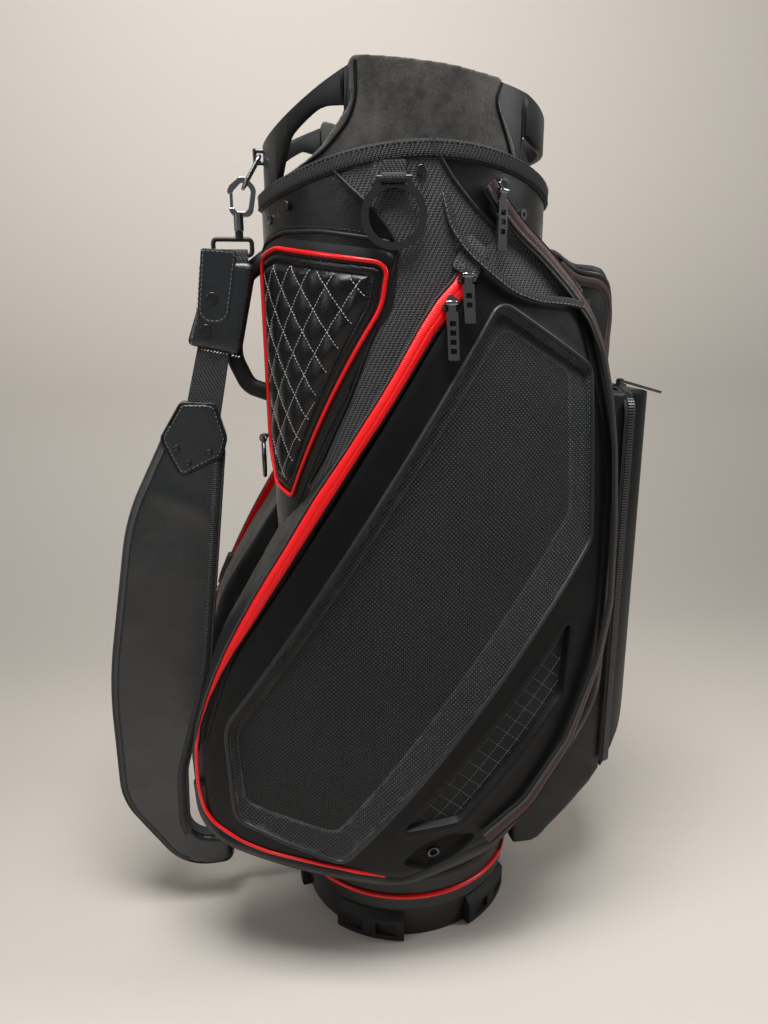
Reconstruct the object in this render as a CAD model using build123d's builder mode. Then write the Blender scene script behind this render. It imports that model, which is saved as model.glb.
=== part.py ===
from build123d import *

import os
from math import cos, radians, sin, sqrt

# A free-standing tour staff bag.  Millimetres, +Z up, the origin on the floor under the tube's axis.
# The spine with its shoulder strap is at -X, the ball pocket at +X, the two apparel pockets at -Y and +Y.

# ---- base
sole_radius = 119.0
boot_radius = 127.5
boot_wall = 4.0
boot_height = 60.0
boot_floor = 8.0
foot_radius = 131.0
foot_height = 35.0
foot_slant = 7.0
foot_count = 5
foot_arc = 36.0
foot_azimuth = -28.0
foot_pocket_depth = 2.5
base_pad_thickness = 6.0
piping_radius = 2.9
snug = 0.1

# ---- tube
tube_base_radius = 128.0
tube_mid_radius = 142.0
tube_mid_height = 480.0
tube_top_radius = 144.5
tube_top_height = 760.0
tube_wall = 3.0
stay_radius = 3.0
stay_count = 4
stay_base_radius = tube_base_radius - 16.0
stay_top_radius = min(tube_mid_radius + 2.5, tube_top_radius) - 12.5

# ---- top cuff
cuff_fit = 0.5
cuff_outer_radius = tube_top_radius - tube_wall - cuff_fit
cuff_wall = 6.0
cuff_lift = 8.0
cuff_base = tube_top_height + cuff_lift
cuff_flange_width = 9.0
cuff_flange_radius = cuff_outer_radius - cuff_wall - cuff_flange_width
cuff_flange_height = 18.0
saddle_low = cuff_base + 43.0
saddle_rise = 29.0
hump_rise = 85.0
hump_top = saddle_low + hump_rise
hump_tilt = 4.0
hump_half_width = 0.865 * cuff_outer_radius
spine_handle_drop = 39.0
front_handle_drop = 22.0
reach_high = hump_top + 100
reach_wide = 3 * cuff_outer_radius
cover_thickness = 2.4
band_height = 16.0
band_thickness = 3.0
band_overlap = 6.0
divider_bar = 9.0
divider_height = 24.0
divider_cross = 44.0
wall_sheet = 1.6

# ---- studs and screws round the collar
stud_radius = 4.5
stud_height = 4.0
stud_azimuths = (-58.0, -5.0, 26.0)
stud_heights = (792.5, 814.5, 807.0)
screw_radius = 5.0
screw_height = 1.6
screw_azimuths = (-73.0, 39.0)
screw_heights = (784.0, 784.0)

# ---- upper panels
quilt_thickness = 4.8
quilt_view = -50.0
quilt_corners = (
    (-87.0, 752.0, 18.0), (-40.0, 760.0, 60.0), (86.0, 742.0, 14.0), (80.0, 700.0, 60.0),
    (-28.0, 512.0, 10.0), (-66.0, 520.0, 12.0), (-86.0, 560.0, 60.0),
)
quilt_border = 8.0
quilt_piping_width = 4.5
quilt_piping_height = 5.4
mesh_thickness = 1.4
mesh_corners = ((-24.0, 776.0, 4.0), (44.0, 776.0, 4.0), (38.0, 752.0, 30.0), (-106.0, 520.0, 3.0),
                (-118.0, 534.0, 3.0), (-44.0, 700.0, 60.0))

# ---- apparel pockets: an outline seen from the side, on a face that bulges round a vertical axis
bulge_x = -10.0
bulge_radius = 420.0
bulge_depth = 48.0
bulge_y = bulge_radius - tube_mid_radius - bulge_depth
bulge_height = 0.5 * tube_mid_height + 40
bulge_top_height = bulge_height + 445
bulge_top_drop = 41.6
bulge_foot_height = bulge_height - 180
bulge_foot_drop = 18.2
bulge_upper_arc = ((bulge_top_height - bulge_height) ** 2 + bulge_top_drop ** 2) / (2 * bulge_top_drop)
bulge_lower_arc = ((bulge_height - bulge_foot_height) ** 2 + bulge_foot_drop ** 2) / (2 * bulge_foot_drop)
panel_thickness = 9.0
panel_corners = (
    (44.0, 742.0, 8.0), (-196.0, 372.0, 260.0), (-232.0, 258.0, 120.0), (-228.0, 171.0, 36.0),
    (-34.0, 127.0, 10.0), (22.0, 150.0, 40.0), (62.0, 161.0, 60.0), (178.0, 299.0, 70.0),
    (191.0, 550.0, 220.0), (147.0, 705.0, 8.0), (92.0, 706.0, 60.0),
)
pocket_corners = (
    (36.0, 755.0, 6.0), (60.0, 800.0, 8.0), (162.0, 716.0, 20.0), (204.0, 560.0, 200.0),
    (190.0, 292.0, 80.0), (68.0, 148.0, 70.0), (-34.0, 114.0, 14.0), (-240.0, 160.0, 46.0),
    (-245.0, 262.0, 120.0), (-208.0, 376.0, 260.0),
)
recess_corners = (
    (62.0, 706.0, 12.0), (163.0, 644.0, 12.0), (164.0, 476.0, 20.0),
    (-95.0, 154.0, 10.0), (-200.0, 198.0, 16.0), (-205.0, 302.0, 40.0),
)
grid_corners = ((-38.0, 190.0, 3.0), (143.0, 398.0, 3.0), (136.0, 318.0, 14.0), (24.0, 195.0, 16.0))
recess_inset = 7.0
recess_depth = 5.5
grid_depth = 4.5
grid_inset = 2.0
pocket_wall = 4.0
wing_plan = (
    (-262.0, -reach_wide), (-262.0, -72.0), (-150.0, -46.0), (-60.0, -10.0), (120.0, -10.0), (120.0, -82.0),
    (212.0, -82.0), (212.0, -reach_wide),
)
rim_drop = 1.5
rim_thickness = 6.0
tape_drop = 0.6
tape_thickness = 1.6
tape_zone = ((66.0, 764.0), (-300.0, 764.0), (-300.0, 225.0), (-150.0, 225.0))

# ---- front pockets
front_half_width = 79.0
front_nose_reach = 60.0
front_nose_x = tube_mid_radius + front_nose_reach
front_seam_reach = 92.0
front_seam_x = tube_mid_radius + front_seam_reach
front_profile = [(tube_mid_radius + out, z, r) for out, z, r in (
    (-22.0, 72.0, 0.0), (8.0, 72.0, 20.0), (76.0, 146.0, 60.0), (124.0, 205.0, 50.0),
    (139.0, 270.0, 60.0), (134.0, 540.0, 60.0), (141.0, 612.0, 22.0), (-22.0, 618.0, 0.0),
)]
front_wall = 4.0
valuables_half_width = 62.0
valuables_nose_reach = 28.0
valuables_nose_x = tube_mid_radius + valuables_nose_reach
valuables_profile = [(tube_mid_radius + out, z, r) for out, z, r in (
    (-22.0, 758.0, 0.0), (3.0, 758.0, 12.0), (24.0, 744.0, 20.0), (64.0, 741.0, 26.0),
    (95.0, 690.0, 30.0), (84.0, 622.0, 20.0), (-22.0, 620.0, 0.0),
)]
front_tape_width = 8.0

# ---- towel ring
towel_azimuth = -14.0
towel_height = 778.0
towel_standoff = tube_top_radius + 6.3
towel_outer = 28.5
towel_inner = 21.8
towel_thickness = 4.0
towel_head_width = 31.0
towel_bar_radius = 2.6
towel_bar_rise = 30.0
towel_head_height = 19.0
towel_slot_width = 22.6
towel_slot_height = 12.0
towel_slot_play = 0.8
loop_clearance = 0.4
loop_sheet = 1.4

# ---- spine furniture
spine_ring_standoff = 11.2
spine_ring_x = -tube_mid_radius - spine_ring_standoff
spine_ring_height = 545.0
spine_ring_radius = 20.5
spine_ring_wire = 2.2
spine_tab_width = 8.0
handle_route = [(-tube_mid_radius - out, z) for out, z in (
    (-2.0, 752.0), (21.0, 735.0), (39.0, 655.0), (24.0, 622.0), (-2.0, 612.0))]
handle_bends = (14.0, 40.0, 20.0)
handle_half_width = 6.8
handle_half_depth = 9.0

# ---- shoulder strap: its outlines are measured along x from the line it swings about
swing_standoff = 8.0
swing_x = -cuff_outer_radius - swing_standoff
swing_top = (swing_x, 0.0, saddle_low + 35)
swing_foot = (-tube_base_radius - swing_standoff - 2, 0.0, boot_height + 44)
strap_y = -14.0


def along_strap(corners):
    """Corners given from the swing line, placed in the bag's frame."""
    return [(swing_x + corner[0],) + tuple(corner[1:]) for corner in corners]


pin_radius = 2.0
staple_height = 15.0
ring_width = 16.0
ring_wire = 1.8
ring_play = 0.6
ring_bottom = (swing_x - 13.0, -9.0, 816.0)
hook_y = -9.0
hook_wire = 2.4
hook_corners = along_strap(((-29.0, 816.0, 9.0), (-13.0, 829.0, 8.0), (0.0, 816.0, 10.0), (-5.0, 789.0, 8.0),
                (-27.0, 789.0, 8.0)))
hook_eye = along_strap(((-24.0, 812.0, 6.0), (-13.0, 823.0, 5.0), (-5.5, 814.0, 6.0), (-9.5, 794.0, 5.0),
            (-22.0, 794.0, 4.0)))
barrel_base = 776.0
barrel_top = 792.0
barrel_radius = 4.8
swivel_x = swing_x - 19.0
stud_neck_radius = 2.0
stud_depth = 9.0
gate_foot = (swing_x - 25.0, 796.0)
gate_head = 812.0
gate_width = 3.0
gate_thickness = 2.2
gate_side_gap = 0.3
gate_pin_radius = 0.9
loop_wire = 2.3
loop_corners = along_strap(((-45.0, 768.0, 4.0), (-7.0, 768.0, 4.0), (-7.0, 753.0, 4.0), (-45.0, 753.0, 4.0)))
sleeve_corners = along_strap(((-48.0, 747.0, 5.0), (-5.0, 745.0, 5.0), (-24.0, 654.0, 5.0), (-77.0, 666.0, 5.0)))
sleeve_thickness = 10.0
snap_places = along_strap(((-49.0, 711.0), (-57.0, 680.0)))
snap_radius = 6.0
snap_height = 2.0
webbing_thickness = 3.0
webbing_width = 30.0
lower_eye_length = 32.0
pad_edge = 7.0
webbing_corners = along_strap(((-41.0, 750.0), (-11.0, 750.0), (-35.0, 655.0), (-48.0, 590.0), (-84.0, 596.0),
                   (-67.0, 662.0)))
patch_corners = along_strap(((-87.0, 609.0, 5.0), (-52.0, 607.0, 5.0), (-42.0, 570.0, 8.0), (-48.0, 551.0, 6.0),
                 (-92.0, 530.0, 8.0), (-110.0, 572.0, 8.0)))
patch_thickness = 26.0
patch_rivets = along_strap(((-94.0, 562.0), (-61.0, 557.0), (-83.0, 546.0)))
rivet_radius = 3.6
rivet_height = 1.2
pad_thickness = 22.0
pad_corners = along_strap((
    (-107.0, 574.0, 6.0), (-151.0, 488.0, 240.0), (-185.0, 300.0, 500.0), (-185.0, 150.0, 90.0),
    (-121.0, 50.0, 60.0), (-63.0, 52.0, 12.0), (-64.0, 88.0, 12.0), (-113.0, 96.0, 26.0),
    (-110.0, 180.0, 90.0), (-76.0, 300.0, 320.0), (-45.0, 560.0, 6.0),
))
lower_webbing_corners = along_strap(((-67.0, 60.0), (5.0, 84.0), (5.0, 116.0), (-67.0, 84.0)))
anchor_pin_length = 46.0

# ---- zip sliders
tape_centre = 6.5
near_slider_drops = (22.0, 50.0)
near_slider_travels = (40.0, 60.0)
side_pull_lengths = (42.0, 50.0)
far_slider_start = (-211.0, 345.0)
far_slider_end = (-184.0, 402.0)
collar_slider_azimuths = (23.3, 34.1)
collar_slider_standoffs = (1.9, 12.5)
collar_slider_heights = (cuff_base + 32, cuff_base + 2)
collar_slider_clearances = (7.7, 3.4)
collar_pull_length = 50.0
front_slider_y = -45.0
front_slider_travel = 70.0
front_pull_length = 50.0
front_pull_droop = 16.0
slider_lift = 1.0
slider_length = 15.0
slider_width = 10.0
slider_height = 4.5
bridge_height = 3.6
bridge_pin_radius = 1.2
running_clearance = 0.1
pull_width = 10.5
pull_thickness = 2.6
pull_eye_radius = 2.6
pull_eye_width = 6.8


def tube_radius(z):
    """Outer radius of the leather tube at a height."""
    if z < tube_mid_height:
        share = (z - boot_height) / (tube_mid_height - boot_height)
        return tube_base_radius + share * (tube_mid_radius - tube_base_radius)
    share = min(1.0, (z - tube_mid_height) / (tube_top_height - tube_mid_height))
    return tube_mid_radius + share * (tube_top_radius - tube_mid_radius)


def bulge_at(z):
    """Radius of the apparel pocket's bulging face at a height."""
    arc = bulge_upper_arc if z > bulge_height else bulge_lower_arc
    return bulge_radius - arc + sqrt(arc**2 - (z - bulge_height) ** 2)


def bulge_face(x, z):
    """Place on the near pocket's face, seen along +Y at x, z."""
    return Vector(x, bulge_y - sqrt(bulge_at(z) ** 2 - (x - bulge_x) ** 2), z)


def outward(azimuth):
    """Unit vector away from the axis, the azimuth counted from -Y towards +X."""
    return Vector(sin(radians(azimuth)), -cos(radians(azimuth)), 0)


def facing(azimuth, distance=0.0, z=0.0):
    """A plane that faces outward at an azimuth, its local y upwards."""
    out = outward(azimuth)
    return Plane(origin=out * distance + Vector(0, 0, z), x_dir=Vector(0, 0, 1).cross(out), z_dir=out)


def corner_loop(corners):
    """A closed outline of straight runs, each corner rounded by its own radius."""
    return FilletPolyline([c[:2] for c in corners], radius=[c[2] for c in corners], close=True)


def prism(plane, corners, depth, back=0.0, grow=0.0):
    """A solid pushed out of an outline of rounded corners."""
    with BuildPart() as block:
        with BuildSketch(plane.offset(-back)):
            with BuildLine():
                corner_loop(corners)
            make_face()
            if grow:
                offset(amount=grow, kind=Kind.INTERSECTION)
        extrude(amount=depth + back)
    return block.part


def slab(plane, points, depth, back=0.0):
    """A solid pushed out of a plain polygon."""
    with BuildPart() as block:
        with BuildSketch(plane.offset(-back)):
            with BuildLine():
                Polyline(*points, close=True)
            make_face()
        extrude(amount=depth + back)
    return block.part


def bulge(inset):
    """The barrel whose skin is the near pocket's face, drawn in by an inset."""
    low, high = boot_height, cuff_base + boot_height
    with BuildPart() as block:
        with BuildSketch(Plane(origin=(bulge_x, bulge_y, 0), x_dir=(1, 0, 0), z_dir=(0, -1, 0))):
            with BuildLine():
                widest = (bulge_radius - inset, bulge_height)
                foot = (bulge_at(low) - inset, low)
                head = (bulge_at(high) - inset, high)
                lower = ThreePointArc(foot, (bulge_at(0.5 * (low + bulge_height)) - inset,
                                             0.5 * (low + bulge_height)), widest)
                upper = ThreePointArc(widest, (bulge_at(0.5 * (high + bulge_height)) - inset,
                                               0.5 * (high + bulge_height)), head)
                Polyline(upper @ 1, (0, high), (0, low), lower @ 0)
            make_face()
        revolve(axis=Axis((bulge_x, bulge_y, 0), (0, 0, 1)))
    return block.part


def tube_core(clearance, top=reach_high):
    """Everything inside the leather tube's outer face, with a clearance round it."""
    with BuildPart() as block:
        with BuildSketch(Plane.XZ):
            with BuildLine():
                Polyline(
                    (0, 0), (tube_base_radius + clearance, 0), (tube_base_radius + clearance, boot_height),
                    (tube_mid_radius + clearance, tube_mid_height),
                    (tube_top_radius + clearance, tube_top_height), (tube_top_radius + clearance, top), (0, top),
                    close=True,
                )
            make_face()
        revolve(axis=Axis.Z)
    return block.part


def tube_skin(inner, outer):
    """A layer on the leather tube, between two heights above its face."""
    with BuildPart() as block:
        add(tube_core(outer))
        add(tube_core(inner), mode=Mode.SUBTRACT)
    return block.part


def above_saddle(drop, length=reach_wide):
    """The space over the collar's saddle line, for cutting pieces to it."""
    reach = cuff_outer_radius + 10
    rise = saddle_rise * (reach / cuff_outer_radius) ** 2
    with BuildPart() as block:
        with BuildSketch(Plane.YZ.offset(-length / 2)):
            with BuildLine():
                dip = ThreePointArc((-reach, saddle_low - drop + rise), (0, saddle_low - drop),
                                    (reach, saddle_low - drop + rise))
                Polyline(dip @ 1, (reach, reach_high), (-reach, reach_high), dip @ 0)
            make_face()
        extrude(amount=length)
    return block.part


def keep(piece, name):
    """Label a finished piece and write it."""
    piece.label = name
    export_step(piece, f"parts/{name}.step")


def keep_pair(piece, name):
    """Write the near piece and its mirror image as two nodes."""
    with BuildPart() as twin:
        mirror(piece, about=Plane.XZ)
    keep(piece, f"{name}_near")
    keep(twin.part, f"{name}_far")


def keep_both(piece, name):
    """Write the near piece and its mirror image in one node."""
    with BuildPart() as both:
        add(piece)
        mirror(piece, about=Plane.XZ)
    keep(both.part, name)


os.makedirs("parts", exist_ok=True)

# ---------------------------------------------------------------- base
boot_waist = (boot_radius - 3.5, foot_height + 3)
with BuildPart() as base_boot:
    with BuildSketch(Plane.XZ):
        with BuildLine():
            Polyline(
                (0, 0), (sole_radius, 0), boot_waist, (boot_radius, boot_waist[1] + 4), (boot_radius, boot_height),
                (boot_radius - boot_wall, boot_height), (boot_waist[0] - boot_wall, boot_waist[1]),
                (sole_radius - boot_wall, boot_floor), (0, boot_floor), close=True,
            )
        make_face()
    revolve(axis=Axis.Z)
keep(base_boot.part, "base_boot")

lug_out = outward(foot_azimuth)
lug_start = outward(foot_azimuth - foot_arc / 2)
with BuildPart() as lug:
    with BuildSketch(Plane(origin=(0, 0, 0), x_dir=lug_start, z_dir=lug_start.cross(Vector(0, 0, 1)))):
        with BuildLine():
            Polyline(
                (sole_radius + snug, 0), (foot_radius - 2, 0), (foot_radius, 3), (foot_radius, foot_height - foot_slant),
                (boot_waist[0] + snug, foot_height), close=True,
            )
        make_face()
    revolve(axis=Axis.Z, revolution_arc=foot_arc)
    with Locations(facing(foot_azimuth, foot_radius, foot_height / 2 - 2)):
        with Locations((-foot_radius * sin(radians(foot_arc / 4)), 0), (foot_radius * sin(radians(foot_arc / 4)), 0)):
            Box(foot_radius * 0.19, foot_height * 0.42, 4 * foot_pocket_depth, mode=Mode.SUBTRACT)
with BuildPart() as base_feet:
    with PolarLocations(0, foot_count):
        add(lug.part)
keep(base_feet.part, "base_feet")

with BuildPart() as base_piping:
    with BuildSketch(Plane.XZ):
        with Locations((tube_base_radius + snug, boot_height)):
            Circle(piping_radius)
        with Locations((tube_base_radius + snug - piping_radius, boot_height)):
            Rectangle(2 * piping_radius, 2 * piping_radius, mode=Mode.SUBTRACT)
    revolve(axis=Axis.Z)
keep(base_piping.part, "base_piping")

with BuildPart() as base_pad:
    with Locations((0, 0, boot_floor)):
        Cylinder(sole_radius - boot_wall - 1, base_pad_thickness, align=(Align.CENTER, Align.CENTER, Align.MIN))
keep(base_pad.part, "base_pad")
pad_top = boot_floor + base_pad_thickness

# ---------------------------------------------------------------- tube
with BuildPart() as body_shell:
    add(tube_core(0))
    add(tube_core(-tube_wall), mode=Mode.SUBTRACT)
    add(above_saddle(band_height - band_overlap), mode=Mode.SUBTRACT)
    with Locations((0, 0, boot_height)):
        Box(reach_wide, reach_wide, 2 * boot_height, align=(Align.CENTER, Align.CENTER, Align.MAX),
            mode=Mode.SUBTRACT)
keep(body_shell.part, "body_shell")

with BuildPart() as frame_stays:
    for turn in range(stay_count):
        side = Vector(cos(radians(45 + 360 / stay_count * turn)), sin(radians(45 + 360 / stay_count * turn)), 0)
        foot = side * stay_base_radius + Vector(0, 0, pad_top + 0.5)
        head = side * stay_top_radius + Vector(0, 0, cuff_base - 0.5)
        with BuildSketch(Plane(origin=foot, z_dir=head - foot)):
            Circle(stay_radius)
        extrude(amount=(head - foot).length)
keep(frame_stays.part, "frame_stays")

# ---------------------------------------------------------------- cuff, covers, band and dividers
cuff_inner = cuff_outer_radius - cuff_wall


def on_cuff(corners):
    """Corners on the cuff: shares of its radius, shares of the humps' rise, and rounding."""
    return [(cuff_outer_radius * wide, saddle_low + hump_rise * high, rounding) for wide, high, rounding in corners]


spine_hole = on_cuff(((-0.851, 0.68, 3.0), (-0.716, 0.705, 20.0), (-0.496, 0.48, 16.0), (-0.355, 0.025, 6.0),
                      (-0.468, -0.01, 10.0), (-0.667, 0.13, 40.0), (-0.809, 0.41, 12.0)))
front_hole = on_cuff(((-0.823, 0.55, 6.0), (-0.567, 0.41, 60.0), (0.567, 0.41, 60.0), (0.823, 0.55, 6.0),
                      (0.681, 0.13, 40.0), (0.284, 0.01, 80.0), (-0.284, 0.01, 80.0), (-0.681, 0.13, 40.0)))
cover_corners = on_cuff(((-0.504, 1.12, 6.0), (0.468, 0.95, 6.0), (0.404, 0.74, 20.0), (0.539, 0.39, 20.0),
                         (0.61, 0.07, 6.0), (0.752, -0.25, 2.0), (-1.0, -0.25, 2.0), (-0.979, 0.0, 10.0),
                         (-0.688, 0.27, 60.0), (-0.496, 0.69, 14.0)))
with BuildPart() as top_cuff:
    with BuildSketch(Plane.XZ):
        with BuildLine():
            Polyline(
                (cuff_flange_radius, cuff_base), (cuff_outer_radius, cuff_base), (cuff_outer_radius, reach_high),
                (cuff_inner, reach_high), (cuff_inner, cuff_base + cuff_flange_height + cuff_wall),
                (cuff_flange_radius, cuff_base + cuff_flange_height), close=True,
            )
        make_face()
    revolve(axis=Axis.Z)
    # each lifting handle dips between the humps, whose tops fall a little towards the front
    for start, drop, tilt in ((-reach_wide, spine_handle_drop, hump_tilt), (0.0, front_handle_drop, -hump_tilt)):
        hump = hump_top + tilt
        with BuildSketch(Plane.YZ.offset(start)):
            with BuildLine():
                dip = ThreePointArc((-hump_half_width, hump), (0, hump_top - drop), (hump_half_width, hump))
                Polyline(dip @ 1, (reach_wide, hump), (reach_wide, reach_high), (-reach_wide, reach_high),
                         (-reach_wide, hump), dip @ 0)
            make_face()
        extrude(amount=reach_wide, mode=Mode.SUBTRACT)
    slope = hump_tilt / (0.3 * cuff_outer_radius)
    add(slab(Plane.XZ, ((-reach_wide, hump_top + slope * reach_wide), (reach_wide, hump_top - slope * reach_wide),
                        (reach_wide, 2 * hump_top), (-reach_wide, 2 * hump_top)), reach_wide, reach_wide),
        mode=Mode.SUBTRACT)
    for way in (1, -1):
        hole = [(way * y, z, r) for y, z, r in spine_hole]
        add(prism(Plane.YZ.offset(-reach_wide), hole, reach_wide), mode=Mode.SUBTRACT)
    add(prism(Plane.YZ, front_hole, reach_wide), mode=Mode.SUBTRACT)
keep(top_cuff.part, "top_cuff")

with BuildPart() as cuff_cover:
    with BuildSketch(Plane.XY.offset(cuff_base)):
        Circle(cuff_outer_radius + snug + cover_thickness)
        Circle(cuff_inner - snug - cover_thickness, mode=Mode.SUBTRACT)
    extrude(amount=reach_high - cuff_base)
    add(prism(Plane.XZ, cover_corners, reach_wide), mode=Mode.INTERSECT)
    with BuildSketch(Plane.XY):
        Circle(cuff_outer_radius)
        Circle(cuff_inner, mode=Mode.SUBTRACT)
    extrude(amount=hump_top - 4 * cover_thickness, mode=Mode.SUBTRACT)
    add(top_cuff.part, mode=Mode.SUBTRACT)
    add(above_saddle(band_height - band_overlap - snug), mode=Mode.INTERSECT)
keep_pair(cuff_cover.part, "cuff_cover")

with BuildPart() as collar_band:
    with BuildSketch(Plane.XY.offset(cuff_base)):
        Circle(tube_top_radius + snug + band_thickness)
        Circle(tube_top_radius + snug, mode=Mode.SUBTRACT)
    extrude(amount=reach_high - cuff_base)
    add(above_saddle(0), mode=Mode.SUBTRACT)
    add(above_saddle(band_height), mode=Mode.INTERSECT)
keep(collar_band.part, "collar_band")

divider_radius = cuff_inner - cover_thickness - 2 * snug
divider_base = cuff_base + cuff_flange_height + cuff_wall + snug
cell_half = divider_cross - divider_bar / 2
with BuildPart() as divider_grid:
    with BuildSketch(Plane.XY.offset(divider_base)):
        Circle(divider_radius)
        Circle(divider_radius - divider_bar, mode=Mode.SUBTRACT)
        Rectangle(2 * divider_radius - divider_bar, divider_bar)
        with Locations((-divider_cross, 0), (divider_cross, 0)):
            Rectangle(divider_bar, 2 * sqrt((divider_radius - divider_bar / 2) ** 2 - divider_cross**2))
    extrude(amount=divider_height)
    fillet(divider_grid.edges().group_by(Axis.Z)[-1].filter_by(GeomType.LINE), radius=2.5)
keep(divider_grid.part, "divider_grid")

sheet_height = divider_base - snug - pad_top
half_run = sole_radius - boot_wall - 4
cross_run = sqrt(half_run**2 - divider_cross**2) - 3
with BuildPart() as divider_centre:
    with Locations((0, 0, pad_top)):
        Box(2 * half_run, wall_sheet, sheet_height, align=(Align.CENTER, Align.CENTER, Align.MIN))
keep(divider_centre.part, "divider_centre")
with BuildPart() as divider_sides:
    for x in (-divider_cross, divider_cross):
        for way in (1, -1):
            with Locations((x, way * (wall_sheet / 2 + snug + cross_run / 2), pad_top)):
                Box(wall_sheet, cross_run, sheet_height, align=(Align.CENTER, Align.CENTER, Align.MIN))
keep(divider_sides.part, "divider_sides")

with BuildPart() as near_studs:
    for azimuth, z in zip(stud_azimuths, stud_heights):
        with BuildSketch(facing(azimuth, tube_top_radius - 0.6, z)):
            Circle(stud_radius)
        extrude(amount=stud_height + 0.6)
    fillet(near_studs.edges().filter_by(GeomType.CIRCLE), radius=0.9)
    add(tube_core(snug), mode=Mode.SUBTRACT)
keep_both(near_studs.part, "hood_studs")

with BuildPart() as near_screws:
    for azimuth, z in zip(screw_azimuths, screw_heights):
        with BuildSketch(facing(azimuth, tube_top_radius - 0.6, z)):
            Circle(screw_radius)
            Circle(screw_radius * 0.4, mode=Mode.SUBTRACT)
        extrude(amount=screw_height + 0.6)
    add(tube_core(snug), mode=Mode.SUBTRACT)
keep_both(near_screws.part, "collar_screws")

# ---------------------------------------------------------------- upper panels on the tube
quilt_plane = facing(quilt_view)
with BuildPart() as quilted_panel:
    add(prism(quilt_plane, quilt_corners, reach_wide, grow=-quilt_border))
    add(tube_skin(snug, quilt_thickness), mode=Mode.INTERSECT)
keep_pair(quilted_panel.part, "quilted_panel")

with BuildPart() as quilt_piping:
    add(prism(quilt_plane, quilt_corners, reach_wide))
    add(prism(quilt_plane, quilt_corners, reach_wide, grow=-quilt_piping_width), mode=Mode.SUBTRACT)
    add(tube_skin(snug, quilt_piping_height), mode=Mode.INTERSECT)
keep_both(quilt_piping.part, "quilt_pipings")

# ---------------------------------------------------------------- apparel pockets
face_planes = Plane.XZ
core_gap = tube_core(snug + mesh_thickness)
with BuildPart() as mesh_panel:
    add(prism(face_planes, mesh_corners, reach_wide))
    add(tube_skin(snug, mesh_thickness), mode=Mode.INTERSECT)
    add(prism(quilt_plane, quilt_corners, reach_wide, grow=0.5), mode=Mode.SUBTRACT)
keep_both(mesh_panel.part, "mesh_panels")

wing = slab(Plane.XY, wing_plan, reach_high)
with BuildPart() as side_pocket:
    add(prism(face_planes, pocket_corners, reach_wide))
    add(wing, mode=Mode.INTERSECT)
    add(bulge(panel_thickness + snug), mode=Mode.INTERSECT)
    add(core_gap, mode=Mode.SUBTRACT)
with BuildPart() as side_cavity:
    add(prism(face_planes, panel_corners, reach_wide, grow=-pocket_wall))
    add(slab(Plane.XY, [(x, y - pocket_wall) for x, y in wing_plan], reach_high), mode=Mode.INTERSECT)
    add(tube_core(snug + mesh_thickness + pocket_wall), mode=Mode.SUBTRACT)
with BuildPart() as side_tray:
    add(side_pocket.part)
    add(side_cavity.part, mode=Mode.SUBTRACT)
keep_pair(side_tray.part, "side_pocket")

hollows = []
for corners, depth, inset in ((recess_corners, recess_depth, recess_inset), (grid_corners, grid_depth, grid_inset)):
    with BuildPart() as hollow:
        add(prism(face_planes, corners, reach_wide, grow=-inset))
        add(bulge(depth), mode=Mode.SUBTRACT)
    hollows.append(hollow.part)
with BuildPart() as side_panel:
    add(prism(face_planes, panel_corners, reach_wide))
    add(bulge(0), mode=Mode.INTERSECT)
    add(bulge(panel_thickness), mode=Mode.SUBTRACT)
    for hollow_part in hollows:
        add(hollow_part, mode=Mode.SUBTRACT)
    add(core_gap, mode=Mode.SUBTRACT)
keep_pair(side_panel.part, "side_panel")

with BuildPart() as side_rim:
    add(prism(face_planes, pocket_corners, reach_wide))
    add(wing, mode=Mode.INTERSECT)
    add(bulge(rim_drop), mode=Mode.INTERSECT)
    add(bulge(panel_thickness), mode=Mode.SUBTRACT)
    add(prism(face_planes, panel_corners, reach_wide, grow=snug), mode=Mode.SUBTRACT)
    add(core_gap, mode=Mode.SUBTRACT)
    add(slab(face_planes, tape_zone, reach_wide), mode=Mode.SUBTRACT)
keep_both(side_rim.part, "side_rims")

with BuildPart() as side_tape:
    add(prism(face_planes, pocket_corners, reach_wide))
    add(wing, mode=Mode.INTERSECT)
    add(bulge(tape_drop), mode=Mode.INTERSECT)
    add(bulge(panel_thickness), mode=Mode.SUBTRACT)
    add(prism(face_planes, panel_corners, reach_wide, grow=snug), mode=Mode.SUBTRACT)
    add(core_gap, mode=Mode.SUBTRACT)
    add(slab(face_planes, tape_zone, reach_wide), mode=Mode.INTERSECT)
keep_both(side_tape.part, "side_zip_tapes")

# ---------------------------------------------------------------- ball pocket and valuables pocket
def nose_plan(half_width, nose_x, shrink=0.0):
    """The plan of a front pocket: straight sides that end in a half circle."""
    with BuildPart() as block:
        with BuildSketch(Plane.XY):
            with Locations((nose_x / 2, 0)):
                Rectangle(nose_x, 2 * (half_width - shrink))
            with Locations((nose_x, 0)):
                Circle(half_width - shrink)
        extrude(amount=reach_high)
    return block.part


def front_box(profile, half_width, nose_x):
    """A front pocket's walls, open towards the tube."""
    with BuildPart() as inside:
        add(prism(Plane.XZ, profile, half_width, half_width, grow=-front_wall))
        add(nose_plan(half_width, nose_x, front_wall), mode=Mode.INTERSECT)
    with BuildPart() as block:
        add(prism(Plane.XZ, profile, half_width, half_width))
        add(nose_plan(half_width, nose_x), mode=Mode.INTERSECT)
        add(inside.part, mode=Mode.SUBTRACT)
        add(core_gap, mode=Mode.SUBTRACT)
    return block.part


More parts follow.
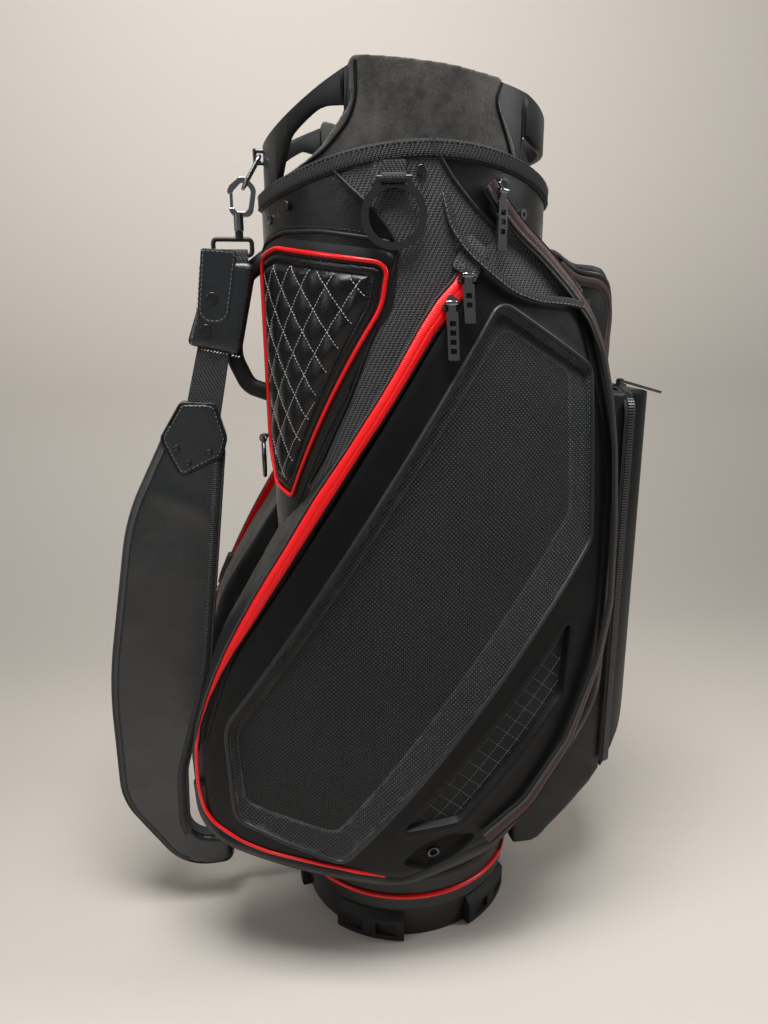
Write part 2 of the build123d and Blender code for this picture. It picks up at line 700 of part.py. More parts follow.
ball_pocket = front_box(front_profile, front_half_width, front_nose_x)
with BuildPart() as front_pocket:
    add(ball_pocket)
    with Locations((front_seam_x - front_tape_width / 2, 0, 0)):
        Box(reach_wide, reach_wide, 2 * reach_high, align=(Align.MIN, Align.CENTER, Align.CENTER), mode=Mode.SUBTRACT)
keep(front_pocket.part, "front_pocket")
with BuildPart() as front_zip_tape:
    add(ball_pocket)
    with Locations((front_seam_x, 0, 0)):
        Box(front_tape_width - 2 * snug, reach_wide, 2 * reach_high, mode=Mode.INTERSECT)
keep(front_zip_tape.part, "front_zip_tape")
with BuildPart() as front_panel:
    add(ball_pocket)
    with Locations((front_seam_x + front_tape_width / 2, 0, 0)):
        Box(reach_wide, reach_wide, 2 * reach_high, align=(Align.MAX, Align.CENTER, Align.CENTER), mode=Mode.SUBTRACT)
keep(front_panel.part, "front_panel")

with BuildPart() as valuables_pocket:
    add(front_box(valuables_profile, valuables_half_width, valuables_nose_x))
    add(side_rim.part, mode=Mode.SUBTRACT)
    add(side_tray.part, mode=Mode.SUBTRACT)
keep(valuables_pocket.part, "valuables_pocket")

# ---------------------------------------------------------------- towel ring
towel_plane = facing(towel_azimuth, towel_standoff, towel_height)
towel_bar = Plane(origin=towel_plane.origin + Vector(0, 0, towel_bar_rise), x_dir=-towel_plane.z_dir,
                  z_dir=towel_plane.x_dir)
loop_inner = towel_bar_radius + loop_clearance
loop_outer = loop_inner + loop_sheet
with BuildPart() as towel_ring:
    with BuildSketch(towel_plane.offset(-towel_thickness / 2)):
        Circle(towel_outer)
        with Locations((0, towel_bar_rise + towel_bar_radius - towel_head_height / 2)):
            Rectangle(towel_head_width, towel_head_height)
        Circle(towel_inner, mode=Mode.SUBTRACT)
        with Locations((0, towel_bar_rise)):
            Rectangle(towel_slot_width, towel_slot_height, mode=Mode.SUBTRACT)
    extrude(amount=towel_thickness)
    with BuildSketch(towel_bar.offset(-towel_head_width / 2)):
        Circle(towel_bar_radius)
    extrude(amount=towel_head_width)
keep(towel_ring.part, "towel_ring")

with BuildPart() as towel_loop:
    with BuildSketch(towel_bar.offset(towel_slot_play - towel_slot_width / 2)):
        Circle(loop_outer)
        with Locations((loop_outer - loop_sheet / 2, towel_bar_rise / 4)):
            Rectangle(loop_sheet, towel_bar_rise / 2)
        Circle(loop_inner, mode=Mode.SUBTRACT)
    extrude(amount=towel_slot_width - 2 * towel_slot_play)
    add(tube_core(mesh_thickness + snug), mode=Mode.SUBTRACT)
keep(towel_loop.part, "towel_loop")

# ---------------------------------------------------------------- spine ring and grab handle
with BuildPart() as spine_ring:
    with Locations((spine_ring_x, 0, spine_ring_height)):
        Torus(spine_ring_radius, spine_ring_wire, rotation=(0, 90, 0))
keep(spine_ring.part, "spine_ring")

spine_ring_top = spine_ring_height + spine_ring_radius
tab_inner = spine_ring_wire + 2 * loop_clearance
with BuildPart() as spine_tab:
    with BuildSketch(Plane.XZ.offset(-spine_tab_width / 2)):
        with Locations((spine_ring_x, spine_ring_top)):
            Circle(tab_inner + loop_sheet)
        with Locations((0.5 * (spine_ring_x - tube_mid_radius), spine_ring_top + tab_inner)):
            Rectangle(-spine_ring_x - tube_mid_radius + loop_sheet, tab_inner)
        with Locations((spine_ring_x, spine_ring_top)):
            Circle(tab_inner, mode=Mode.SUBTRACT)
    extrude(amount=spine_tab_width)
    add(tube_core(snug), mode=Mode.SUBTRACT)
keep(spine_tab.part, "spine_tab")

with BuildPart() as grab_handle:
    with BuildLine(Plane.XZ):
        route = FilletPolyline(handle_route, radius=handle_bends)
    with BuildSketch(Plane(origin=route @ 0, x_dir=(0, 1, 0), z_dir=route % 0)):
        Ellipse(handle_half_width, handle_half_depth)
    sweep()
    add(tube_core(snug), mode=Mode.SUBTRACT)
keep(grab_handle.part, "grab_handle")

# ---------------------------------------------------------------- shoulder strap
swing_line = Vector(*swing_foot) - Vector(*swing_top)
strap_plane = Plane.XZ.offset(-strap_y)
hook_plane = Plane.XZ.offset(-hook_y)
swing_down = swing_line.normalized()


def swing_cylinder(centre, radius, length):
    """A rod or bore along the strap's swing axis."""
    with BuildPart() as block:
        with BuildSketch(Plane(origin=Vector(*centre) - swing_down * length / 2, z_dir=swing_down)):
            Circle(radius)
        extrude(amount=length)
    return block.part


def bracket(centre, length, root_x):
    """A pin along the swing axis, its two legs let into the bag's wall."""
    pin = Vector(*centre)
    with BuildPart() as block:
        add(swing_cylinder(centre, pin_radius, length))
        for end in (-1, 1):
            leg = pin + swing_down * end * (length / 2 - pin_radius)
            with BuildSketch(Plane(origin=leg, z_dir=(1, 0, 0))):
                Circle(pin_radius)
            extrude(amount=root_x - leg.X)
    return block.part


with BuildPart() as strap_staple:
    add(bracket(swing_top, staple_height, 4 - cuff_outer_radius))
    add(top_cuff.part, mode=Mode.SUBTRACT)
keep(strap_staple.part, "strap_staple")
with BuildPart() as lower_anchor:
    add(bracket(swing_foot, anchor_pin_length, 6 - tube_base_radius))
    add(tube_core(snug), mode=Mode.SUBTRACT)
keep(lower_anchor.part, "lower_anchor")

ring_top = Vector(*swing_top) + Vector(pin_radius + ring_wire + ring_play, 0, 0)
ring_length = (Vector(*ring_bottom) - ring_top).length
ring_slope = (Vector(*ring_bottom) - ring_top).normalized()
ring_across = ring_slope.cross(Vector(0, 1, 0)).cross(ring_slope).normalized()
ring_plane = Plane(origin=ring_top + ring_slope * ring_length / 2, x_dir=ring_slope,
                   z_dir=ring_slope.cross(ring_across))


def wire_link(plane, corners, wire):
    """A closed link bent out of round wire."""
    with BuildPart() as block:
        with BuildLine(plane):
            bend = corner_loop(corners)
        with BuildSketch(Plane(origin=bend @ 0, z_dir=bend % 0)):
            Circle(wire)
        sweep()
    return block.part


half_long, half_wide = ring_length / 2, ring_width / 2
ring_corners = [(x * half_long, y * half_wide, 0.92 * half_wide) for x, y in ((1, 1), (1, -1), (-1, -1), (-1, 1))]
keep(wire_link(ring_plane, ring_corners, ring_wire), "strap_ring")

# the snap hook: an eye with a gap on its outer side, which the sprung gate closes
gap_foot = gate_foot[1] + gate_width / 2
gap_head = gate_head - gate_width / 2
gate_slot = gate_thickness + 2 * gate_side_gap
with BuildPart() as hook_gate:
    with BuildSketch(hook_plane.offset(-gate_thickness / 2)):
        with Locations(gate_foot):
            Circle(gate_width / 2)
        with Locations((gate_foot[0], (gate_foot[1] + gate_head - gate_side_gap) / 2)):
            Rectangle(gate_width, gate_head - gate_foot[1] - gate_side_gap)
        with Locations(gate_foot):
            Circle(gate_pin_radius + running_clearance, mode=Mode.SUBTRACT)
    extrude(amount=gate_thickness)
keep(hook_gate.part, "hook_gate")

with BuildPart() as snap_hook:
    with BuildSketch(hook_plane.offset(-hook_wire)):
        with BuildLine():
            corner_loop(hook_corners)
        make_face()
        with BuildLine():
            corner_loop(hook_eye)
        make_face(mode=Mode.SUBTRACT)
        with Locations((gate_foot[0] - gate_width, (gap_foot + gap_head) / 2)):
            Rectangle(4 * gate_width, gap_head - gap_foot, mode=Mode.SUBTRACT)
    extrude(amount=2 * hook_wire)
    fillet(snap_hook.edges().group_by(Axis.Y)[0] + snap_hook.edges().group_by(Axis.Y)[-1], radius=0.8)
    with BuildSketch(Plane.XY.offset(barrel_base)):
        with Locations((swivel_x, hook_y)):
            Circle(barrel_radius)
    extrude(amount=barrel_top - barrel_base)
    # slots that take the gate's foot and its nose
    with BuildSketch(hook_plane.offset(-gate_slot / 2)):
        with Locations(gate_foot):
            Circle(gate_width / 2 + gate_side_gap)
            Rectangle(gate_width + 4 * gate_side_gap, gate_width + 2 * gate_side_gap)
        with Locations((gate_foot[0] + 1.5 * gate_width, gap_head)):
            Rectangle(4 * gate_width + 2 * gate_side_gap, gate_width)
    extrude(amount=gate_slot, mode=Mode.SUBTRACT)
    with BuildSketch(hook_plane.offset(-hook_wire)):
        with Locations(gate_foot):
            Circle(gate_pin_radius)
    extrude(amount=2 * hook_wire)
    with BuildSketch(Plane.XY.offset(barrel_base - 1)):
        with Locations((swivel_x, hook_y)):
            Circle(stud_neck_radius + running_clearance)
    extrude(amount=stud_depth + 1, mode=Mode.SUBTRACT)
keep(snap_hook.part, "snap_hook")

loop_bar = loop_corners[0][1]
with BuildPart() as strap_loop:
    add(wire_link(hook_plane, loop_corners, loop_wire))
    with BuildSketch(Plane.XY.offset(loop_bar)):
        with Locations((swivel_x, hook_y)):
            Circle(stud_neck_radius)
    extrude(amount=barrel_base + stud_depth - 1 - loop_bar)
    with BuildSketch(Plane.XY.offset(loop_bar)):
        with Locations((swivel_x, hook_y)):
            Circle(2 * stud_neck_radius)
    extrude(amount=barrel_base - loop_clearance - loop_bar)
keep(strap_loop.part, "strap_loop")

bar_middle = Vector((loop_corners[2][0] + loop_corners[3][0]) / 2, hook_y,
                    (loop_corners[2][1] + loop_corners[3][1]) / 2)
with BuildPart() as strap_webbing_upper:
    add(slab(strap_plane, webbing_corners, webbing_thickness / 2, webbing_thickness / 2))
    with BuildSketch(Plane(origin=bar_middle - Vector(webbing_width / 2, 0, 0), z_dir=(1, 0, 0))):
        Circle(loop_wire + loop_clearance + webbing_thickness)
        Circle(loop_wire + loop_clearance, mode=Mode.SUBTRACT)
    extrude(amount=webbing_width)
keep(strap_webbing_upper.part, "strap_webbing_upper")

with BuildPart() as strap_pad:
    add(prism(strap_plane, pad_corners, pad_thickness / 2, pad_thickness / 2))
    fillet(strap_pad.edges().filter_by(Plane.XZ), radius=pad_edge)
    add(strap_webbing_upper.part, mode=Mode.SUBTRACT)
keep(strap_pad.part, "strap_pad")

with BuildPart() as strap_sleeve:
    add(prism(strap_plane, sleeve_corners, sleeve_thickness / 2, sleeve_thickness / 2))
    add(strap_webbing_upper.part, mode=Mode.SUBTRACT)
keep(strap_sleeve.part, "strap_sleeve")

with BuildPart() as sleeve_snaps:
    for place in snap_places:
        with BuildSketch(strap_plane.offset(sleeve_thickness / 2)):
            with Locations(place):
                Circle(snap_radius)
        extrude(amount=snap_height)
    fillet(sleeve_snaps.edges().group_by(Axis.Y)[0], radius=0.8)
keep(sleeve_snaps.part, "sleeve_snaps")

with BuildPart() as strap_patch:
    add(prism(strap_plane, patch_corners, patch_thickness / 2, patch_thickness / 2))
    add(prism(strap_plane, pad_corners, pad_thickness / 2 + snug, pad_thickness / 2 + snug), mode=Mode.SUBTRACT)
    add(strap_webbing_upper.part, mode=Mode.SUBTRACT)
keep(strap_patch.part, "strap_patch")

with BuildPart() as patch_rivet_heads:
    for place in patch_rivets:
        with BuildSketch(strap_plane.offset(patch_thickness / 2)):
            with Locations(place):
                Circle(rivet_radius)
        extrude(amount=rivet_height)
keep(patch_rivet_heads.part, "patch_rivets")

with BuildPart() as strap_webbing_lower:
    add(slab(Plane.XZ, lower_webbing_corners, webbing_thickness / 2, webbing_thickness / 2))
    add(swing_cylinder(swing_foot, pin_radius + loop_clearance + webbing_thickness, lower_eye_length))
    add(swing_cylinder(swing_foot, pin_radius + loop_clearance, lower_eye_length + 20), mode=Mode.SUBTRACT)
    add(strap_pad.part, mode=Mode.SUBTRACT)
keep(strap_webbing_lower.part, "strap_webbing_lower")


# ---------------------------------------------------------------- zip sliders and their pulls
def slider_and_pull(name, place, travel, out, hang, pull_length, windows):
    """A slider on its tape and a pull on the slider's pin.  travel, out and hang are directions."""
    across = out.cross(hang).normalized()
    deck = Plane(origin=place + out * slider_lift, x_dir=travel, z_dir=out)
    pin_centre = place + out * (slider_lift + slider_height + bridge_height)
    ear_plane = Plane(origin=pin_centre, x_dir=out.cross(across), z_dir=across)
    pin_plane = Plane(origin=pin_centre, x_dir=hang, z_dir=across)
    cheek = (slider_width - pull_eye_width) / 2 - running_clearance
    with BuildPart() as slider:
        with BuildSketch(deck):
            RectangleRounded(slider_length, slider_width, 2.5)
        extrude(amount=slider_height)
        for side in (-1, 1):
            middle = side * (pull_eye_width / 2 + running_clearance + cheek / 2)
            with BuildSketch(ear_plane.offset(middle - cheek / 2)):
                Circle(bridge_pin_radius + 1.0)
                with Locations((0, -bridge_height / 2)):
                    Rectangle(2 * bridge_pin_radius + 2.0, bridge_height)
            extrude(amount=cheek)
        with BuildSketch(pin_plane.offset(-slider_width / 2)):
            Circle(bridge_pin_radius)
        extrude(amount=slider_width)
    keep(slider.part, f"slider_{name}")
    with BuildPart() as pull:
        with BuildSketch(pin_plane.offset(-pull_eye_width / 2)):
            Circle(pull_eye_radius)
            with Locations((slider_length / 2, 0)):
                Rectangle(slider_length, pull_thickness)
        extrude(amount=pull_eye_width)
        face = hang.cross(across)
        tab = Plane(origin=pin_centre - face * pull_thickness / 2, x_dir=hang, z_dir=face)
        with BuildSketch(tab):
            with Locations(((pull_length + slider_length / 2) / 2, 0)):
                RectangleRounded(pull_length - slider_length / 2, pull_width, 1.5)
            for step in range(windows):
                with Locations((slider_length + 3 + 8 * step, 0)):
                    Rectangle(4.5, pull_width - 5, mode=Mode.SUBTRACT)
        extrude(amount=pull_thickness)
        with BuildSketch(pin_plane.offset(-pull_eye_width)):
            Circle(bridge_pin_radius + running_clearance)
        extrude(amount=2 * pull_eye_width, mode=Mode.SUBTRACT)
    keep(pull.part, f"pull_{name}")
    return pin_centre, across


DOWN = Vector(0, 0, -1)


def off_tube(place):
    """A place moved out from the axis until it is clear of the tube's wall."""
    level = Vector(place.X, place.Y, 0)
    least = tube_radius(place.Z) + mesh_thickness + slider_lift
    return place + level.normalized() * max(0.0, least - level.length)


def tape_place(drop):
    """A place on the near zip's centre line, a drop along it from its top corner."""
    head, foot = Vector(*panel_corners[0][:2]), Vector(*panel_corners[1][:2])
    along = (foot - head).normalized()
    left = Vector(along.Y, -along.X)
    spot = head + left * tape_centre + along * drop
    return off_tube(bulge_face(spot.X, spot.Y))


def face_out(place):
    """The direction square out of the near pocket's upper face."""
    level = Vector(place.X - bulge_x, place.Y - bulge_y, 0).normalized()
    return (level * bulge_upper_arc + Vector(0, 0, place.Z - bulge_height)).normalized()


def fall(out):
    """Straight down along a face that looks outward."""
    return (DOWN - out * DOWN.dot(out)).normalized()


def mirrored(direction):
    """A direction or place on the far side."""
    return Vector(direction.X, -direction.Y, direction.Z)


zip_data = {}
for tag, drop, run, length, windows in zip(("near_a", "near_b"), near_slider_drops, near_slider_travels,
                                           side_pull_lengths, (2, 4)):
    start = tape_place(drop)
    out = face_out(start)
    zip_data[tag] = (start, (tape_place(drop + run) - start).normalized(), out, fall(out), length, windows)

far_start = bulge_face(*far_slider_start)
far_travel = (bulge_face(*far_slider_end) - far_start).normalized()
far_out = face_out(far_start)
zip_data["far_main"] = (mirrored(far_start), mirrored(far_travel), mirrored(far_out), mirrored(fall(far_out)),
                        side_pull_lengths[0], 2)



def collar_place(azimuth, standoff, z, clearance):
    """A place for the collar's slider: off the tube's wall, and off the pocket's face below it."""
    place = outward(azimuth) * (tube_top_radius + standoff) + Vector(0, 0, z)
    return Vector(place.X, min(place.Y, bulge_face(place.X, z).Y - clearance), z)


collar_start, collar_end = [
    collar_place(*given)
    for given in zip(collar_slider_azimuths, collar_slider_standoffs, collar_slider_heights,
                     collar_slider_clearances)
]
collar_travel = (collar_end - collar_start).normalized()
collar_out = Vector(collar_start.X, collar_start.Y, 0).normalized()
zip_data["near_collar"] = (collar_start, collar_travel, collar_out, DOWN, collar_pull_length, 3)
zip_data["far_collar"] = (mirrored(collar_start), mirrored(collar_travel), mirrored(collar_out), DOWN,
                          collar_pull_length, 3)

droop = Vector(cos(radians(front_pull_droop)), 0, -sin(radians(front_pull_droop)))
front_start = Vector(front_seam_x, front_slider_y, front_profile[-2][1] + 2)
zip_data["front"] = (front_start, Vector(0, 1, 0), Vector(0, 0, 1), droop, front_pull_length, 2)

# where each pull hinges, and about which line
pull_hinges = {tag: slider_and_pull(tag, *data) for tag, data in zip_data.items()}
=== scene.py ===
import math

import bmesh
import bpy
import numpy as np
from bpy.props import FloatProperty, FloatVectorProperty, PointerProperty
from mathutils import Matrix, Vector, geometry, noise
from mathutils.bvhtree import BVHTree


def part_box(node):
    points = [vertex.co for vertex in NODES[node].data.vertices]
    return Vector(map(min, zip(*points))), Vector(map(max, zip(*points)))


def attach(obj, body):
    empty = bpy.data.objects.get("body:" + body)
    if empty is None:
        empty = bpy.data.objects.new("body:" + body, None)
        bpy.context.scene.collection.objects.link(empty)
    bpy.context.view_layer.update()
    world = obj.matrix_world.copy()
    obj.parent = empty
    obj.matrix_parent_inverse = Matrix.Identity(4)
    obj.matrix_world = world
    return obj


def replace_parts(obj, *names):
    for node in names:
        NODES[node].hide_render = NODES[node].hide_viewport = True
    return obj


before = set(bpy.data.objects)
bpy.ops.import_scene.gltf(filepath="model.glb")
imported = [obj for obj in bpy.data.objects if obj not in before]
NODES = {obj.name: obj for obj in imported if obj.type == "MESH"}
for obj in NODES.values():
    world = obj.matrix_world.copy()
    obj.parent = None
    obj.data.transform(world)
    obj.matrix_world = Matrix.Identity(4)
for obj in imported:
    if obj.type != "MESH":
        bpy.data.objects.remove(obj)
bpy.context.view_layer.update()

bl_info = {
    "name": "Tour staff golf bag",
    "version": (1, 0, 0),
    "blender": (4, 5, 0),
    "location": "3D View > Sidebar > Golf bag",
    "description": "Builds a free-standing staff golf bag round its packed frame",
    "category": "Add Mesh",
}

MM = 0.001

# ---------------------------------------------------------------- the bag's shapes, in millimetres
BULGE_X, BULGE_Y, BULGE_R, BULGE_Z = -10.0, 230.0, 420.0, 280.0
BULGE_UP, BULGE_DOWN = 2400.0, 900.0
TUBE = ((60.0, 128.0), (480.0, 142.0), (760.0, 144.5), (990.0, 144.5))
WALL_R = 144.5
WALL_ROUND = 2 * math.pi * WALL_R
TUBE_FOOT = 60.5
SADDLE_LOW, SADDLE_RISE = 811.0, 29.0
BAND_HIGH = 16.5
CELL_HALF = 44.0
QUILT_AZ = -50.0
STRAP_Y = -14.0
# outlines as seen square on: across, up, and the corner's radius
PANEL = ((44, 742, 8), (-196, 372, 260), (-232, 258, 120), (-228, 171, 36), (-34, 127, 10), (22, 150, 40),
         (62, 161, 60), (178, 299, 70), (191, 550, 220), (147, 705, 8), (92, 706, 60))
POCKET = ((36, 755, 6), (60, 800, 8), (162, 716, 20), (204, 560, 200), (190, 292, 80), (68, 148, 70),
          (-34, 114, 14), (-240, 160, 46), (-245, 262, 120), (-208, 376, 260))
RECESS = ((62, 706, 12), (163, 644, 12), (164, 476, 20), (-95, 154, 10), (-200, 198, 16), (-205, 302, 40))
FLOOR = ((66, 683, 12), (138, 640, 14), (139, 506, 16), (-101, 188, 12), (-190, 216, 14), (-195, 294, 40))
GRID = ((-38, 190, 3), (143, 398, 3), (136, 318, 14), (24, 195, 16))
QUILT = ((-87, 752, 18), (-40, 760, 60), (86, 742, 14), (80, 700, 60), (-28, 512, 10), (-66, 520, 12),
         (-86, 560, 60))
PAD = ((-256, 574, 6), (-300, 488, 240), (-334, 300, 500), (-334, 150, 90), (-270, 50, 60), (-212, 52, 12),
       (-213, 88, 12), (-262, 96, 26), (-259, 180, 90), (-225, 300, 320), (-194, 560, 6))
PATCH = ((-236, 609, 5), (-201, 607, 5), (-191, 570, 8), (-197, 551, 6), (-241, 530, 8), (-259, 572, 8))
SLEEVE = ((-197, 747, 5), (-154, 745, 5), (-173, 654, 5), (-226, 666, 5))


# ---------------------------------------------------------------- outlines
def unit(v):
    """Vectors brought to length one."""
    return v / np.maximum(np.linalg.norm(v, axis=-1, keepdims=True), 1e-9)


def run_along(line):
    """How far along a line each of its points is."""
    return np.concatenate([[0], np.cumsum(np.linalg.norm(np.diff(line, axis=0), axis=1))])


def angles(count):
    """Even angles once round a circle."""
    return np.linspace(0, 2 * math.pi, count, endpoint=False)


def around(middle, radius, count):
    """Points round a circle."""
    turn = angles(count)
    return np.stack([middle[0] + radius * np.cos(turn), middle[1] + radius * np.sin(turn)], -1)


def shut(loop):
    """A closed line with its first point put last too."""
    return np.vstack([loop, loop[:1]])


def resample(points, step, closed=True):
    """Points at even spacing along a line."""
    pts = np.asarray(points, float)
    if closed:
        pts = shut(pts)
    run = run_along(pts)
    count = max(3, int(round(run[-1] / step)))
    marks = np.linspace(0, run[-1], count + 1)
    out = np.stack([np.interp(marks, run, pts[:, k]) for k in range(pts.shape[1])], -1)
    return out[:-1] if closed else out


def tangents(line, closed=False):
    """The direction along a line at each point."""
    return unit(np.roll(line, -1, 0) - np.roll(line, 1, 0) if closed else np.gradient(line, axis=0))


def eased(line, times=3):
    """A line with its kinks taken out, ends kept."""
    line = np.array(line, float)
    for _ in range(times):
        line[1:-1] = 0.25 * line[:-2] + 0.5 * line[1:-1] + 0.25 * line[2:]
    return line


def flowing(line, step, times):
    """An open line at even spacing, eased."""
    return eased(resample(line, step, closed=False), times)


def rounded(corners, step=4.0):
    """A dense closed outline from corners (x, z, radius)."""
    pts = np.array([c[:2] for c in corners], float)
    out = []
    for i, corner in enumerate(corners):
        p, before, after = pts[i], pts[i - 1], pts[(i + 1) % len(pts)]
        u, w = unit(before - p), unit(after - p)
        half = 0.5 * math.acos(float(np.clip(u @ w, -1, 1)))
        radius = corner[2]
        middle = p + unit(u + w) * radius / math.sin(half)
        start = p + u * radius / math.tan(half) - middle
        end = p + w * radius / math.tan(half) - middle
        a = math.atan2(start[1], start[0])
        turn = (math.atan2(end[1], end[0]) - a + math.pi) % (2 * math.pi) - math.pi
        parts = max(2, int(abs(turn) * radius / 2.0) + 1)
        for j in range(parts + 1):
            ang = a + turn * j / parts
            out.append(middle + radius * np.array([math.cos(ang), math.sin(ang)]))
    return resample(out, step)


def area(loop):
    """Signed area of an outline."""
    x, y = loop[:, 0], loop[:, 1]
    return 0.5 * float(np.sum(x * np.roll(y, -1) - np.roll(x, -1) * y))


def grown(loop, amount, step=4.0):
    """An outline moved outward."""
    tangent = tangents(loop, True)
    normal = np.stack([tangent[:, 1], -tangent[:, 0]], -1) * np.sign(area(loop))
    moved = loop + normal * amount
    keep = outline_distance(loop, moved) > abs(amount) * 0.93
    return resample(moved[keep], step)


def inside(loop, pts):
    """Which points lie inside an outline."""
    x, y = pts[:, 0:1], pts[:, 1:2]
    a, b = loop, np.roll(loop, -1, 0)
    cross = (a[:, 1] > y) != (b[:, 1] > y)
    rise = np.where(np.abs(b[:, 1] - a[:, 1]) < 1e-12, 1e-12, b[:, 1] - a[:, 1])
    at = a[:, 0] + (y - a[:, 1]) * (b[:, 0] - a[:, 0]) / rise
    return (np.sum(cross & (x < at), axis=1) % 2) == 1


def outline_distance(loop, pts):
    """Distance from points to an outline."""
    a, d = loop, np.roll(loop, -1, 0) - loop
    length = np.maximum((d**2).sum(1), 1e-12)
    out = np.empty(len(pts))
    for k in range(0, len(pts), 4000):
        q = pts[k:k + 4000, None, :] - a[None]
        t = np.clip((q * d).sum(-1) / length, 0, 1)
        out[k:k + 4000] = np.sqrt(((q - t[..., None] * d) ** 2).sum(-1).min(1))
    return out


def depth_in(loop, pts):
    """Distance from an outline, counted positive inside it."""
    return np.where(inside(loop, pts), 1, -1) * outline_distance(loop, pts)


def smooth(t):
    """An eased step between 0 and 1."""
    t = np.clip(t, 0, 1)
    return t * t * (3 - 2 * t)


# ---------------------------------------------------------------- surfaces
def tube_radius(z):
    """Outer radius of the leather tube at a height."""
    return np.interp(z, [p[0] for p in TUBE], [p[1] for p in TUBE])


def bulge_at(z):
    """Radius of the apparel pocket's face at a height."""
    arc = np.where(z > BULGE_Z, BULGE_UP, BULGE_DOWN)
    return BULGE_R - arc + np.sqrt(arc**2 - (z - BULGE_Z) ** 2)


def collar_line(u):
    """Height of the collar's line, which is highest at the two sides; u runs round the tube's wall."""
    return SADDLE_LOW + SADDLE_RISE * np.cos(u / WALL_R) ** 2


def pocket_face(u, v, h=0.0):
    """The near apparel pocket's bulging face."""
    r = bulge_at(v) + h
    return np.stack([u + 0 * r, BULGE_Y - np.sqrt(r**2 - (u - BULGE_X) ** 2), v + 0 * r], -1)


def tube_side(azimuth):
    """The tube's wall as seen square on from an azimuth."""
    s, c = math.sin(math.radians(azimuth)), math.cos(math.radians(azimuth))

    def surface(u, v, h=0.0):
        r = tube_radius(v) + h
        d = np.sqrt(np.maximum(r**2 - u**2, 1.0))
        return np.stack([s * d + c * u, -c * d + s * u, v + 0 * d], -1)
    return surface


def strap_face(u, v, h=0.0):
    """The strap's plane, with h towards the near side."""
    return np.stack([u + 0 * h, STRAP_Y - h + 0 * u, v + 0 * h], -1)


def raised(surface, flat, h=0.0, lift=0.0):
    """Points of a flat line on a surface, h off it; h is a number or a function of the line."""
    flat = np.asarray(flat, float)
    return surface(flat[:, 0], flat[:, 1], (h(flat) if callable(h) else np.full(len(flat), float(h))) + lift)


def on_surface(surface, flat, h=0.0, lift=0.0):
    """The same, with the directions out of the surface."""
    return raised(surface, flat, h, lift), unit(raised(surface, flat, 1.0) - raised(surface, flat))


def beside_bag(flat, y):
    """A flat line held off to the near side, and the way back from there."""
    return np.c_[flat[:, 0], np.full(len(flat), y), flat[:, 1]], np.array([(0, -1.0, 0)] * len(flat))


def wander(points, size, seed):
    """Smooth noise between -1 and 1 at each point; size is the lumps' size in millimetres."""
    shift = Vector((seed * 17.3, seed * 5.1, seed * 9.7))
    return np.array([noise.noise(Vector(p) / size + shift) for p in points])


# ---------------------------------------------------------------- meshes
def new_object(name, data):
    """An object in the scene."""
    obj = bpy.data.objects.new(name, data)
    bpy.context.scene.collection.objects.link(obj)
    return obj


def reworked(mesh, *steps):
    """A mesh put through steps of bmesh."""
    bm = bmesh.new()
    bm.from_mesh(mesh)
    for step in steps:
        step(bm)
    bm.to_mesh(mesh)
    bm.free()


def new_mesh(name, points, faces, uvs=None, sharp=40.0, material_ids=None):
    """A mesh object from millimetre points; its faces are turned outwards."""
    mesh = bpy.data.meshes.new(name)
    mesh.from_pydata([tuple(p) for p in np.asarray(points) * MM], [], [tuple(f) for f in faces])
    if uvs is not None:
        layer = mesh.uv_layers.new(name="UVMap")
        index = np.empty(len(mesh.loops), np.int32)
        mesh.loops.foreach_get("vertex_index", index)
        layer.data.foreach_set("uv", (np.asarray(uvs, np.float32)[index] * MM).ravel())
    if material_ids is not None:
        mesh.polygons.foreach_set("material_index", np.asarray(material_ids, np.int32))
    reworked(mesh, lambda bm: bmesh.ops.recalc_face_normals(bm, faces=bm.faces))
    mesh.shade_smooth()
    if sharp:
        mesh.set_sharp_from_angle(angle=math.radians(sharp))
    return new_object(name, mesh)


def settle(obj, slot, finishes, replaced=(), fill=None, twin=True, body="bag"):
    """Dress a finished piece, let it ride, and hide the parts that it replaces.

    A piece with near in its name gets its mirror image on the far side, unless twin is False."""
    for finish in [finishes] if isinstance(finishes, str) else finishes:
        obj.data.materials.append(look(finish))
    made = [obj]
    if twin and "near" in obj.name:
        far = new_object(obj.name.replace("near", "far"), obj.data.copy())
        far.data.transform(Matrix.Diagonal((1, -1, 1, 1)))
        far.data.flip_normals()
        made.append(far)
    for piece in made:
        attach(piece, body)
    for node in [replaced] if isinstance(replaced, str) else replaced:
        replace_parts(made[-1] if node.endswith("_far") else obj, node)


